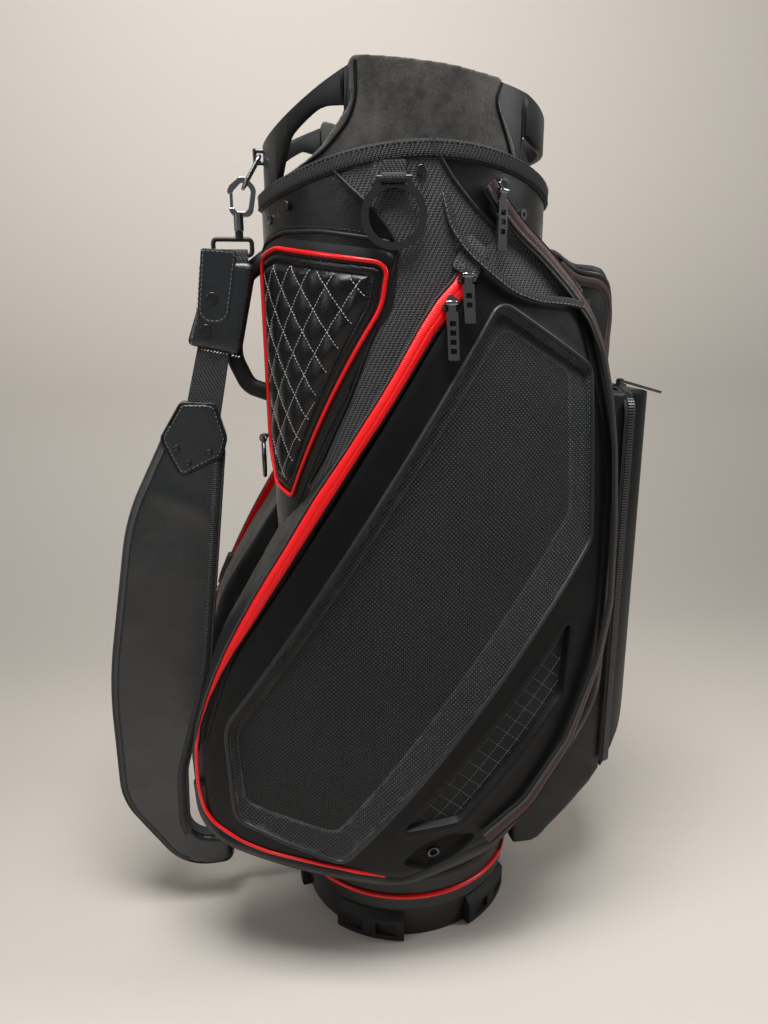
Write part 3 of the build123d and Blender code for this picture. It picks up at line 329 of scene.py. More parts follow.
def patch(name, loop, surface, height, under, step=5.0, lines=(), bands=(), sharp=40.0):
    """A closed sheet over a surface inside an outline.  height and under are how far its front and its back stand
    off the surface; lines are outlines that its mesh has to follow, and inside each of bands the next material
    shows."""
    loop = resample(loop, step)
    lines = [resample(line, step) for line in lines]
    low, high = loop.min(0), loop.max(0)
    rows = np.arange(low[1], high[1], step * 0.866)
    grid = np.array([(x + (step / 2 if k % 2 else 0), z) for k, z in enumerate(rows)
                     for x in np.arange(low[0], high[0], step)])
    grid = grid[inside(loop, grid)]
    for line in [loop] + lines:
        grid = grid[outline_distance(line, grid) > 0.6 * step]
    coords, edges = [tuple(p) for p in loop], []
    for line in lines:
        start = len(coords)
        coords += [tuple(p) for p in line]
        edges += [(start + i, start + (i + 1) % len(line)) for i in range(len(line))]
    coords += [tuple(p) for p in grid]
    result = geometry.delaunay_2d_cdt([Vector(c) for c in coords], edges, [list(range(len(loop)))], 1, 1e-6)
    flat, tris = np.array([tuple(v) for v in result[0]]), result[2]
    count = len(flat)
    sides = dict.fromkeys((f[i], f[(i + 1) % len(f)]) for f in tris for i in range(len(f)))
    faces = [tuple(f) for f in tris] + [tuple(i + count for i in reversed(f)) for f in tris]
    faces += [(b, a, a + count, b + count) for a, b in sides if (b, a) not in sides]
    ids = np.zeros(len(faces), np.int32)
    mids = np.array([flat[list(f)].mean(0) for f in tris])
    for k, band in enumerate(bands):
        ids[:len(tris)][inside(band, mids)] = k + 1
    points = np.vstack([raised(surface, flat, height), raised(surface, flat, under)])
    return new_mesh(name, points, faces, np.vstack([flat, flat]), sharp, ids)


def grid_mesh(name, rows, close_u=False, close_v=False, uvs=None, sharp=40.0, cap=False, ends=False):
    """A mesh over rows of points.  close_u joins each row's ends and close_v the last row to the first; cap fills
    the first and the last row, and ends the first and the last column."""
    rows = np.asarray(rows, float)
    m, n = rows.shape[:2]
    faces = []
    for i in range(m if close_v else m - 1):
        for j in range(n if close_u else n - 1):
            a, b = i * n + j, i * n + (j + 1) % n
            c, d = ((i + 1) % m) * n + (j + 1) % n, ((i + 1) % m) * n + j
            faces.append((a, b, c, d))
    if cap:
        faces += [tuple(range(n)), tuple((m - 1) * n + j for j in reversed(range(n)))]
    if ends:
        faces += [tuple(i * n for i in range(m)), tuple(i * n + n - 1 for i in reversed(range(m)))]
    return new_mesh(name, rows.reshape(-1, 3), faces, uvs, sharp)


def ribbon(name, path_a, path_b, surface, height, rows=7, thick=2.0, closed=False, lift=0.0):
    """A band between two paths on a surface; height(t) shapes it at each place across."""
    run = run_along(path_a)
    width = np.linalg.norm(path_b - path_a, axis=1)
    top, low, uv = [], [], []
    for t in np.linspace(0, 1, rows):
        flat = path_a * (1 - t) + path_b * t
        top.append(surface(flat[:, 0], flat[:, 1], lift + height(t)))
        low.append(raised(surface, flat, lift - thick))
        uv.append(np.stack([run, t * width], -1))
    return grid_mesh(name, top + low[::-1], close_u=closed, close_v=True, ends=not closed,
                     uvs=np.array(uv + uv[::-1]).reshape(-1, 2))


def tube(name, points, radius, closed=False, sides=8):
    """A cord of constant section along points, in millimetres."""
    pts = np.asarray(points, float)
    tangent = tangents(pts, closed)
    side = np.cross(tangent[0], (0, 0, 1)) if abs(tangent[0][2]) < 0.9 else np.cross(tangent[0], (1, 0, 0))
    frames = []
    for ahead in tangent:
        side = side - ahead * (side @ ahead)
        side = side / np.linalg.norm(side)
        frames.append((side, np.cross(ahead, side)))
    ang = angles(sides)
    rows = [[p + radius * (math.cos(a) * f[0] + math.sin(a) * f[1]) for a in ang]
            for p, f in zip(pts, frames)]
    uvs = [(r, a * radius) for r in run_along(pts) for a in ang]
    return grid_mesh(name, rows, close_u=True, close_v=closed, uvs=uvs, cap=not closed)


def cord(name, points, radius, finish, slot="piping", replaced=(), closed=False, sides=8, body="bag"):
    """A cord with its finish, settled."""
    settle(tube(name, points, radius, closed, sides), slot, finish, replaced, body=body)


def strip(name, line, out, width, thick, closed=False):
    """A flat band with rounded edges along a line; out says which way it faces."""
    line, out = np.asarray(line, float), np.asarray(out, float)
    tangent = tangents(line, closed)
    out = unit(out - tangent * (out * tangent).sum(-1, keepdims=True))
    across = np.cross(tangent, out)
    ang = angles(16)
    side = np.sign(np.cos(ang)) * np.abs(np.cos(ang)) ** 0.45 * width / 2
    up = np.sign(np.sin(ang)) * np.abs(np.sin(ang)) ** 0.7 * thick / 2
    rows = line[:, None] + across[:, None] * side[None, :, None] + out[:, None] * up[None, :, None]
    uvs = [(r, c) for r in run_along(line) for c in side]
    return grid_mesh(name, rows, close_u=True, close_v=closed, uvs=uvs, cap=not closed)


def seated(obj, lines, lift=0.3, reach=14.0):
    """Guide lines laid down on a finished piece."""
    tree = BVHTree.FromPolygons([v.co for v in obj.data.vertices], [tuple(f.vertices) for f in obj.data.polygons])
    found = []
    for points, outs in lines:
        kept, ways = [], []
        for p, o in zip(np.asarray(points, float) * MM, np.asarray(outs, float)):
            place, normal = tree.ray_cast(Vector(p + o * reach * MM), Vector(-o), 2.5 * reach * MM)[:2]
            if place is None:
                continue
            way = (Vector(o) + normal).normalized()
            kept.append(np.array(place + way * lift * MM) / MM)
            ways.append(tuple(way))
        if len(kept) > 2:
            found.append((np.array(kept), np.array(ways)))
    return found


def baked(obj):
    """A piece with its modifiers taken into its mesh."""
    view = bpy.context.evaluated_depsgraph_get()
    mesh = bpy.data.meshes.new_from_object(obj.evaluated_get(view))
    old = obj.data
    obj.modifiers.clear()
    obj.data = mesh
    bpy.data.meshes.remove(old)
    return obj


def softened(name, node, voxel, relax=6, ruffle=0.0, size=40.0, seed=1):
    """A soft copy of a solid: remeshed, relaxed, and lightly rumpled."""
    mesh = NODES[node].data.copy()
    reworked(mesh, lambda bm: bmesh.ops.remove_doubles(bm, verts=bm.verts, dist=1e-5))
    mesh.materials.clear()
    obj = new_object(name, mesh)
    remesh = obj.modifiers.new("remesh", "REMESH")
    remesh.mode = "VOXEL"
    remesh.voxel_size = voxel * MM
    relaxer = obj.modifiers.new("relax", "SMOOTH")
    relaxer.factor = 0.5
    relaxer.iterations = relax
    baked(obj)
    if ruffle:
        co = np.empty(len(obj.data.vertices) * 3)
        obj.data.vertices.foreach_get("co", co)
        co = co.reshape(-1, 3)
        normals = np.array([v.normal for v in obj.data.vertices])
        co += normals * (wander(co / MM, size, seed) * ruffle * MM)[:, None]
        obj.data.vertices.foreach_set("co", co.ravel())
    obj.data.shade_smooth()
    return obj


# ---------------------------------------------------------------- sizes and colours in the sidebar
def size_of(name, description, default, low, high):
    """A length that the sidebar shows."""
    return FloatProperty(name=name, description=description, default=default, min=low, max=high, precision=4,
                         subtype="DISTANCE", unit="LENGTH")


def colour_of(name, description, default):
    """A colour that the sidebar shows."""
    return FloatVectorProperty(name=name, description=description, default=default, min=0, max=1, size=3,
                               subtype="COLOR")


class GolfBagSizes(bpy.types.PropertyGroup):
    """Sizes of the sewn and woven detail."""
    stitch_length: size_of("Stitch", "Length of one stitch", 0.0034, 0.001, 0.01)
    stitch_gap: size_of("Stitch gap", "Space between two stitches", 0.0012, 0.0002, 0.01)
    thread: size_of("Thread", "Thickness of the sewing thread", 0.0009, 0.0003, 0.003)
    diamond_width: size_of("Diamond width", "Width of a quilted diamond", 0.029, 0.01, 0.08)
    diamond_height: size_of("Diamond height", "Height of a quilted diamond", 0.040, 0.01, 0.1)
    quilt_puff: size_of("Quilt puff", "How far a diamond stands up", 0.0030, 0.0, 0.006)
    grain: size_of("Leather grain", "Size of a pebble in the leather's grain", 0.0016, 0.0004, 0.01)
    floor_pitch: size_of("Dot pitch", "Pitch of the dots in the panel's recess", 0.0042, 0.001, 0.02)
    rumple: size_of("Rumple", "Depth of the creases in the soft leather", 0.0016, 0.0, 0.005)


class GolfBagColours(bpy.types.PropertyGroup):
    """Colours of the bag and its stage."""
    leather: colour_of("Leather", "Colour of the black leather", (0.0046, 0.0048, 0.0053))
    panel: colour_of("Panel", "Colour of the moulded panels", (0.0037, 0.0041, 0.0046))
    velour: colour_of("Velour", "Colour of the soft covers of the top", (0.052, 0.049, 0.045))
    red: colour_of("Red", "Colour of the red zips and piping", (0.92, 0.008, 0.010))
    thread: colour_of("Thread", "Colour of the pale stitches", (0.62, 0.60, 0.58))
    zip_brown: colour_of("Zip brown", "Colour of the brown garment zips", (0.070, 0.041, 0.038))
    metal: colour_of("Metal", "Colour of the dark metal", (0.27, 0.27, 0.285))
    stage: colour_of("Stage", "Colour of the floor and the backdrop", (0.66, 0.605, 0.54))


def sizes():
    """The sidebar's sizes."""
    return bpy.context.scene.golf_bag_sizes


def colours():
    """The sidebar's colours."""
    return bpy.context.scene.golf_bag_colours


# ---------------------------------------------------------------- shader building
class Nodes:
    """Adds nodes to a tree, and links or sets their inputs."""

    def __init__(self, tree):
        self.tree = tree

    def add(self, kind, inputs=None, **settings):
        """One node with its settings and inputs."""
        node = self.tree.nodes.new(kind)
        for key, value in settings.items():
            setattr(node, key, value)
        for key, value in (inputs or {}).items():
            self.put(node.inputs[key], value)
        return node

    def put(self, socket, value):
        """Link an output to a socket, or give it a value."""
        if isinstance(value, bpy.types.NodeSocket):
            self.tree.links.new(value, socket)
        else:
            socket.default_value = value

    def math(self, operation, a, b=0.0, c=0.0, clamp=False):
        """The result of a math node."""
        return self.add("ShaderNodeMath", {0: a, 1: b, 2: c}, operation=operation, use_clamp=clamp).outputs[0]

    def times(self, a, b, clamp=False):
        """Two values multiplied."""
        return self.math("MULTIPLY", a, b, clamp=clamp)

    def plus(self, a, b, clamp=False):
        """Two values added."""
        return self.math("ADD", a, b, clamp=clamp)

    def mix(self, factor, a, b):
        """A colour between two colours."""
        return self.add("ShaderNodeMix", {0: factor, 6: a, 7: b}, data_type="RGBA").outputs[2]

    def ramp(self, value, low, high, to_low=0.0, to_high=1.0, eased=True):
        """A value taken from one range to another."""
        node = self.add("ShaderNodeMapRange", {0: value, 1: low, 2: high, 3: to_low, 4: to_high})
        node.interpolation_type = "SMOOTHSTEP" if eased else "LINEAR"
        return node.outputs[0]

    def scaled(self, vector, scale):
        """A vector times a number or a vector."""
        if isinstance(scale, tuple):
            return self.add("ShaderNodeVectorMath", {0: vector, 1: scale}, operation="MULTIPLY").outputs[0]
        return self.add("ShaderNodeVectorMath", {0: vector, "Scale": scale}, operation="SCALE").outputs[0]

    def noise(self, vector, scale, detail=2.0, rough=0.55):
        """Smooth noise between 0 and 1."""
        return self.add("ShaderNodeTexNoise", {"Vector": vector, "Scale": scale, "Detail": detail,
                                               "Roughness": rough}).outputs["Fac"]


def shared(name, outputs=("Height", "Shade"), **inputs):
    """Make a function of a tree's nodes and inputs, which gives its outputs, into a shader group made once."""
    def making(fill):
        def group():
            if name in bpy.data.node_groups:
                return bpy.data.node_groups[name]
            tree = bpy.data.node_groups.new(name, "ShaderNodeTree")
            tree.interface.new_socket(name="Vector", in_out="INPUT", socket_type="NodeSocketVector")
            for key, default in inputs.items():
                socket = tree.interface.new_socket(name=key, in_out="INPUT", socket_type="NodeSocketFloat")
                socket.default_value = default
            for key in outputs:
                tree.interface.new_socket(name=key, in_out="OUTPUT", socket_type="NodeSocketFloat")
            nodes = Nodes(tree)
            start, end = tree.nodes.new("NodeGroupInput"), tree.nodes.new("NodeGroupOutput")
            for key, value in fill(nodes, start.outputs).items():
                nodes.put(end.inputs[key], value)
            return tree
        return group
    return making


@shared("Leather grain", Size=0.0016)
def leather_grain(n, i):
    """Pebbled leather: rounded cells with creases between them."""
    v = n.scaled(i["Vector"], n.math("DIVIDE", 1.0, i["Size"]))
    bend = n.add("ShaderNodeTexNoise", {"Vector": v, "Scale": 0.35, "Detail": 2.0}).outputs["Color"]
    bent = n.add("ShaderNodeVectorMath", {0: v, 1: n.scaled(bend, 1.6)}, operation="ADD").outputs[0]
    cell = n.add("ShaderNodeTexVoronoi", {"Vector": bent, "Scale": 1.0}, feature="DISTANCE_TO_EDGE").outputs[0]
    fine = n.noise(v, 2.6, 4.0)
    pebble = n.ramp(cell, 0.0, 0.34)
    height = n.plus(n.times(pebble, 0.75), n.times(fine, 0.25))
    height = n.plus(height, n.times(n.noise(i["Vector"], 22.0, 2.0), 15.0))
    broad = n.noise(i["Vector"], 17.0, 3.0)
    return {"Height": height, "Shade": n.times(n.ramp(broad, 0.3, 0.7), n.ramp(pebble, 0.0, 1.0, 0.6, 1.0))}


@shared("Weave", Size=0.001, Twill=0.0)
def weave(n, i):
    """Crossing yarns; Twill slants them."""
    parts = n.add("ShaderNodeSeparateXYZ", {0: n.scaled(i["Vector"], n.math("DIVIDE", math.pi, i["Size"]))})
    slant = n.times(parts.outputs[1], i["Twill"])
    sx = n.math("SINE", n.plus(parts.outputs[0], slant))
    sy = n.math("SINE", parts.outputs[1])
    over = n.math("GREATER_THAN", n.times(sx, sy), 0.0)
    warp = n.times(n.math("ABSOLUTE", sx), over)
    weft = n.times(n.math("ABSOLUTE", sy), n.math("SUBTRACT", 1.0, over))
    fuzz = n.noise(n.scaled(i["Vector"], n.math("DIVIDE", 3.0, i["Size"])), 1.0, 2.0)
    height = n.plus(n.plus(warp, n.times(weft, 0.8)), n.times(fuzz, 0.3))
    return {"Height": height, "Shade": n.times(height, 0.8, clamp=True)}


@shared("Nap")
def nap(n, i):
    """Brushed pile: short hairs, lying this way and that in patches."""
    hairs = n.noise(n.scaled(i["Vector"], (1.0, 1.0, 0.35)), 900.0, 3.0, 0.7)
    lie = n.noise(i["Vector"], 22.0, 4.0, 0.6)
    specks = n.ramp(n.noise(i["Vector"], 420.0, 2.0), 0.62, 0.75)
    blotch = n.ramp(n.noise(i["Vector"], 85.0, 4.0, 0.65), 0.3, 0.7)
    shade = n.plus(n.times(n.ramp(lie, 0.3, 0.7), 0.45), n.times(hairs, 0.25))
    shade = n.plus(shade, n.times(blotch, 0.30))
    return {"Height": hairs, "Shade": n.plus(shade, n.times(specks, 0.35), clamp=True)}


@shared("Dots", Size=0.004)
def dots(n, i):
    """Raised dots on a slanting grid."""
    v = n.scaled(i["Vector"], n.math("DIVIDE", 1.0, i["Size"]))
    parts = n.add("ShaderNodeSeparateXYZ", {0: v})
    a = n.plus(parts.outputs[0], parts.outputs[1])
    b = n.math("SUBTRACT", parts.outputs[0], parts.outputs[1])
    ca = n.math("SINE", n.times(a, math.pi))
    cb = n.math("SINE", n.times(b, math.pi))
    dot = n.times(n.times(ca, ca), n.times(cb, cb))
    fuzz = n.noise(v, 4.0, 3.0)
    height = n.plus(n.ramp(dot, 0.15, 0.8), n.times(fuzz, 0.25))
    return {"Height": height, "Shade": n.times(height, 0.8, clamp=True)}


@shared("Ribs", Size=0.0024)
def ribs(n, i):
    """Ribs across a band, as a zip's coil shows."""
    parts = n.add("ShaderNodeSeparateXYZ", {0: i["Vector"]})
    wave = n.math("SINE", n.times(parts.outputs[0], n.math("DIVIDE", 2 * math.pi, i["Size"])))
    fine = n.noise(i["Vector"], 900.0, 3.0)
    height = n.plus(n.times(wave, 0.5), n.times(fine, 0.35))
    return {"Height": height, "Shade": n.ramp(wave, -1.0, 1.0, 0.3, 1.0)}


@shared("Fine grain", Size=0.001)
def fine_grain(n, i):
    """A fine moulded or cast texture."""
    v = n.scaled(i["Vector"], n.math("DIVIDE", 1.0, i["Size"]))
    fine = n.noise(v, 1.0, 4.0, 0.65)
    broad = n.noise(i["Vector"], 24.0, 3.0)
    return {"Height": fine, "Shade": n.plus(n.times(fine, 0.4), n.times(broad, 0.6))}


@shared("Marks", outputs=("Scuff", "Dust"), Scuffs=0.3, Dust=0.2)
def wear_marks(n, i):
    """Scuffs, hairline scratches and dust, each as a mask."""
    v = i["Vector"]
    turned = n.add("ShaderNodeVectorRotate", {"Vector": v, "Angle": 0.6}, rotation_type="Y_AXIS").outputs[0]
    streak = n.noise(n.scaled(turned, (30.0, 30.0, 900.0)), 1.0, 2.0, 0.6)
    zone = n.ramp(n.noise(v, 13.0, 3.0), 0.5, 0.7)
    scuff = n.times(n.ramp(streak, 0.6, 0.74), zone)
    spots = n.ramp(n.noise(v, 260.0, 2.0), 0.68, 0.78)
    film = n.ramp(n.noise(v, 8.0, 5.0, 0.62), 0.35, 0.8)
    normal = n.add("ShaderNodeNewGeometry").outputs["Normal"]
    up = n.ramp(n.add("ShaderNodeSeparateXYZ", {0: normal}).outputs[2], -0.2, 1.0, 0.25, 1.0)
    dust = n.times(n.plus(n.times(film, 0.6), n.times(spots, 0.4)), up)
    return {"Scuff": n.times(scuff, i["Scuffs"]), "Dust": n.times(dust, i["Dust"])}


def tint(colour, factor, lift=0.0):
    """A colour made lighter or darker."""
    return tuple(min(1.0, c * factor + lift) for c in colour) + (1.0,)


def material(name, recipe, size, colour, spread, rough, bump, depth, marks, coords="Object", metallic=0.0, coat=0.0,
             coat_rough=0.2, sheen=0.0, sheen_rough=0.5, twill=None, wear=None, shine=0.25, upright=False,
             dust_colour=(0.16, 0.15, 0.135, 1.0)):
    """A material from a shared recipe: grain, colour spread, scuffs and dust."""
    mat = bpy.data.materials.new(name)
    mat.use_nodes = True
    mat.diffuse_color = tuple(colour) + (1.0,)
    n = Nodes(mat.node_tree)
    shader = mat.node_tree.nodes["Principled BSDF"]
    where = n.add("ShaderNodeTexCoord")
    grain = n.add("ShaderNodeGroup", node_tree=recipe())
    place = where.outputs[coords]
    if upright:
        place = n.add("ShaderNodeVectorRotate", {"Vector": place, "Angle": math.pi / 2},
                      rotation_type="X_AXIS").outputs[0]
    n.put(grain.inputs["Vector"], place)
    if "Size" in grain.inputs:
        grain.inputs["Size"].default_value = size
    if twill is not None:
        grain.inputs["Twill"].default_value = twill
    mark = n.add("ShaderNodeGroup", node_tree=wear_marks())
    n.put(mark.inputs["Vector"], where.outputs["Object"])
    mark.inputs["Scuffs"].default_value, mark.inputs["Dust"].default_value = marks
    base = n.mix(grain.outputs["Shade"], tint(colour, spread[0]), tint(colour, spread[1]))
    # Where a wear colour is given, the mesh's attribute mixes it in: partly edge wear, partly painted highlight
    if wear is not None:
        wear_and_highlight_mask = n.add("ShaderNodeAttribute", attribute_name="wear").outputs["Fac"]
        patchy_wear_and_highlight = n.times(wear_and_highlight_mask, n.ramp(n.noise(where.outputs["Object"], 55.0, 5.0), 0.2, 0.8))
        base = n.mix(patchy_wear_and_highlight, base, tint(wear, 1.0))
    base = n.mix(mark.outputs["Scuff"], base, tint(colour, 2.0, 0.035))
    base = n.mix(mark.outputs["Dust"], base, dust_colour)
    n.put(shader.inputs["Base Color"], base)
    roughness = n.ramp(grain.outputs["Shade"], 0.0, 1.0, rough[1], rough[0], eased=False)
    n.put(shader.inputs["Roughness"],
          n.plus(roughness, n.times(mark.outputs["Dust"], 0.35), clamp=True))
    bumps = n.add("ShaderNodeBump", {"Strength": bump, "Distance": depth, "Height": grain.outputs["Height"]})
    n.put(shader.inputs["Normal"], bumps.outputs[0])
    for key, value in (("Metallic", metallic), ("Coat Weight", coat), ("Coat Roughness", coat_rough),
                       ("Sheen Weight", sheen), ("Sheen Roughness", sheen_rough), ("Specular IOR Level", shine)):
        shader.inputs[key].default_value = value
    return mat


# a finish: its grain and the grain's size, its colour, how much darker and lighter it goes, how rough it is at its
# smoothest and roughest, how strong and how deep its bumps are, its scuffs and dust, and what else it has.  A name
# with a factor is one of the sidebar's sizes or colours.
FINISHES = {
    "leather": (leather_grain, ("grain", 1.0), ("leather", 1.0), (0.55, 1.6), (0.24, 0.42), 0.35, 0.0003,
                (0.25, 0.1), dict(shine=0.42)),
    "soft_leather": (leather_grain, ("grain", 0.8), ("leather", 1.0), (0.55, 1.6), (0.34, 0.55), 0.35, 0.0003,
                     (0.2, 0.1), dict(shine=0.42)),
    # The pad leather is lighter and bluer than the other leather: partly its own cool tone, partly painted blue-grey
    # reflection
    "pad_leather": (leather_grain, ("grain", 0.7), (0.0082, 0.0104, 0.0124), (0.55, 1.6), (0.2, 0.34), 0.35, 0.0003,
                    (0.45, 0.1), dict(shine=0.85)),
    "quilt_leather": (leather_grain, ("grain", 0.75), (0.0034, 0.0036, 0.0042), (0.55, 1.6), (0.19, 0.31), 0.35,
                      0.0003, (0.05, 0.03), dict(shine=0.42)),
    # The moulded panel's wear colour shows the painted highlight patch on its top right and the crest wear
    "moulded_panel": (fine_grain, 0.0009, ("panel", 1.0), (0.6, 1.5), (0.34, 0.52), 0.22, 0.0002, (0.5, 0.12),
                      dict(wear=(0.085, 0.085, 0.082), shine=0.17)),
    # The bevel is the recess floor's dots made lighter, partly wear and partly painted highlight on the lit slope;
    # its wear colour lightens the lower crests further
    "bevel": (dots, ("floor_pitch", 1.0), ("panel", 5.0), (0.2, 2.3), (0.28, 0.5), 0.9, 0.0008, (0.2, 0.25),
              dict(coords="UV", wear=(0.16, 0.16, 0.158), shine=0.35)),
    "bevel_bead": (fine_grain, 0.0009, ("panel", 3.4), (0.6, 1.7), (0.26, 0.42), 0.3, 0.0003, (0.3, 0.3),
                   dict(shine=0.35)),
    "recess_floor": (dots, ("floor_pitch", 1.0), ("panel", 3.4), (0.1, 2.6), (0.4, 0.6), 0.9, 0.0008, (0.05, 0.2),
                     dict(coords="UV", shine=0.3)),
    "grid_cloth": (weave, 0.0011, ("panel", 2.0), (0.4, 2.2), (0.55, 0.75), 0.6, 0.0004, (0.05, 0.25),
                   dict(coords="UV")),
    "velour": (nap, 0, ("velour", 1.0), (0.2, 2.0), (0.75, 0.95), 0.9, 0.0009, (0.0, 0.55), dict(sheen=0.3,
               sheen_rough=0.45, dust_colour=(0.24, 0.225, 0.205, 1.0), shine=0.1)),
    "cuff_plastic": (fine_grain, 0.0007, (0.01, 0.0105, 0.011), (0.7, 1.5), (0.36, 0.5), 0.16, 0.0002, (0.4, 0.12),
                     dict(shine=0.22)),
    "band_twill": (weave, 0.0017, (0.019, 0.019, 0.02), (0.2, 2.3), (0.5, 0.7), 1.0, 0.001, (0.0, 0.35),
                   dict(coords="UV", twill=0.5)),
    "webbing": (weave, 0.0016, (0.026, 0.026, 0.027), (0.2, 2.4), (0.5, 0.7), 0.9, 0.0007, (0.0, 0.25),
                dict(twill=0.5, upright=True)),
    "knit": (weave, 0.0021, (0.042, 0.042, 0.043), (0.06, 2.4), (0.5, 0.75), 1.0, 0.0009, (0.0, 0.3),
             dict(coords="UV", twill=0.5)),
    "binding": (ribs, 0.0022, (0.034, 0.034, 0.035), (0.25, 1.9), (0.5, 0.7), 0.9, 0.0006, (0.0, 0.25),
                dict(coords="UV")),
    "lining": (weave, 0.001, (0.0055, 0.0055, 0.006), (0.5, 1.8), (0.6, 0.8), 0.5, 0.0003, (0.0, 0.1),
               dict(shine=0.12)),
    "red_zip_tape": (ribs, 0.0017, ("red", 1.0), (0.66, 1.08), (0.3, 0.44), 0.5, 0.0003, (0.0, 0.03),
                     dict(coords="UV", shine=0.3)),
    "red_piping": (fine_grain, 0.0012, ("red", 1.0), (0.8, 1.08), (0.2, 0.32), 0.15, 0.0002, (0.0, 0.03),
                   dict(coat=0.25, coat_rough=0.15, shine=0.35)),
    "pale_thread": (fine_grain, 0.0006, ("thread", 1.0), (0.8, 1.1), (0.5, 0.7), 0.4, 0.0003, (0.0, 0.1), {}),
    "grey_thread": (fine_grain, 0.0006, ("thread", 0.34), (0.7, 1.2), (0.5, 0.7), 0.4, 0.0003, (0.0, 0.1), {}),
    "black_thread": (fine_grain, 0.0006, (0.03, 0.03, 0.031), (0.6, 1.6), (0.35, 0.55), 0.4, 0.0003, (0.0, 0.1),
                     {}),
    "satin_lip": (fine_grain, 0.0011, (0.035, 0.034, 0.032), (0.6, 1.5), (0.22, 0.34), 0.2, 0.0002, (0.2, 0.1),
                  dict(shine=0.6)),
    "brown_zip": (ribs, 0.0017, ("zip_brown", 1.0), (0.5, 1.35), (0.35, 0.5), 0.7, 0.0004, (0.0, 0.15),
                  dict(coords="UV")),
    "black_zip_tape": (weave, 0.0012, (0.02, 0.02, 0.02), (0.4, 1.9), (0.5, 0.7), 0.6, 0.0003, (0.0, 0.2),
                       dict(upright=True)),
    "gunmetal": (fine_grain, 0.0016, ("metal", 1.0), (0.75, 1.25), (0.15, 0.27), 0.12, 0.0002, (0.3, 0.05),
                 dict(metallic=1.0)),
    "steel": (fine_grain, 0.002, (0.34, 0.34, 0.35), (0.8, 1.15), (0.18, 0.3), 0.1, 0.0002, (0.3, 0.04),
              dict(metallic=1.0)),
    "dark_steel": (fine_grain, 0.002, (0.1, 0.1, 0.105), (0.8, 1.25), (0.2, 0.32), 0.1, 0.0002, (0.3, 0.04),
                   dict(metallic=1.0)),
    "black_plastic": (fine_grain, 0.0008, (0.01, 0.01, 0.0105), (0.75, 1.4), (0.28, 0.42), 0.15, 0.0002, (0.4, 0.15),
                      dict(shine=0.4)),
    "ring_plastic": (fine_grain, 0.001, (0.02, 0.02, 0.021), (0.75, 1.3), (0.16, 0.28), 0.12, 0.0002, (0.5, 0.15),
                     dict(shine=0.6)),
    "stud_enamel": (fine_grain, 0.0012, (0.01, 0.01, 0.01), (0.8, 1.4), (0.14, 0.24), 0.08, 0.0002, (0.25, 0.05),
                    dict(coat=0.5, coat_rough=0.1, shine=0.5)),
    "rubber": (fine_grain, 0.0012, (0.012, 0.012, 0.012), (0.7, 1.5), (0.45, 0.65), 0.3, 0.0003, (0.6, 0.3), {}),
    "zip_teeth": (fine_grain, 0.0007, (0.045, 0.045, 0.047), (0.7, 1.5), (0.22, 0.36), 0.1, 0.0001, (0.2, 0.12),
                  dict(shine=0.5)),
}
MATERIALS = {}


def look(key):
    """A finish by its name, made when it is first asked for."""
    if key not in MATERIALS:
        recipe, size, colour, *plain, more = FINISHES[key]
        if isinstance(size, tuple):
            size = getattr(sizes(), size[0]) * size[1]
        if isinstance(colour[0], str):
            colour = tint(getattr(colours(), colour[0]), colour[1])[:3]
        MATERIALS[key] = material(key, recipe, size, colour, *plain, **more)
    return MATERIALS[key]


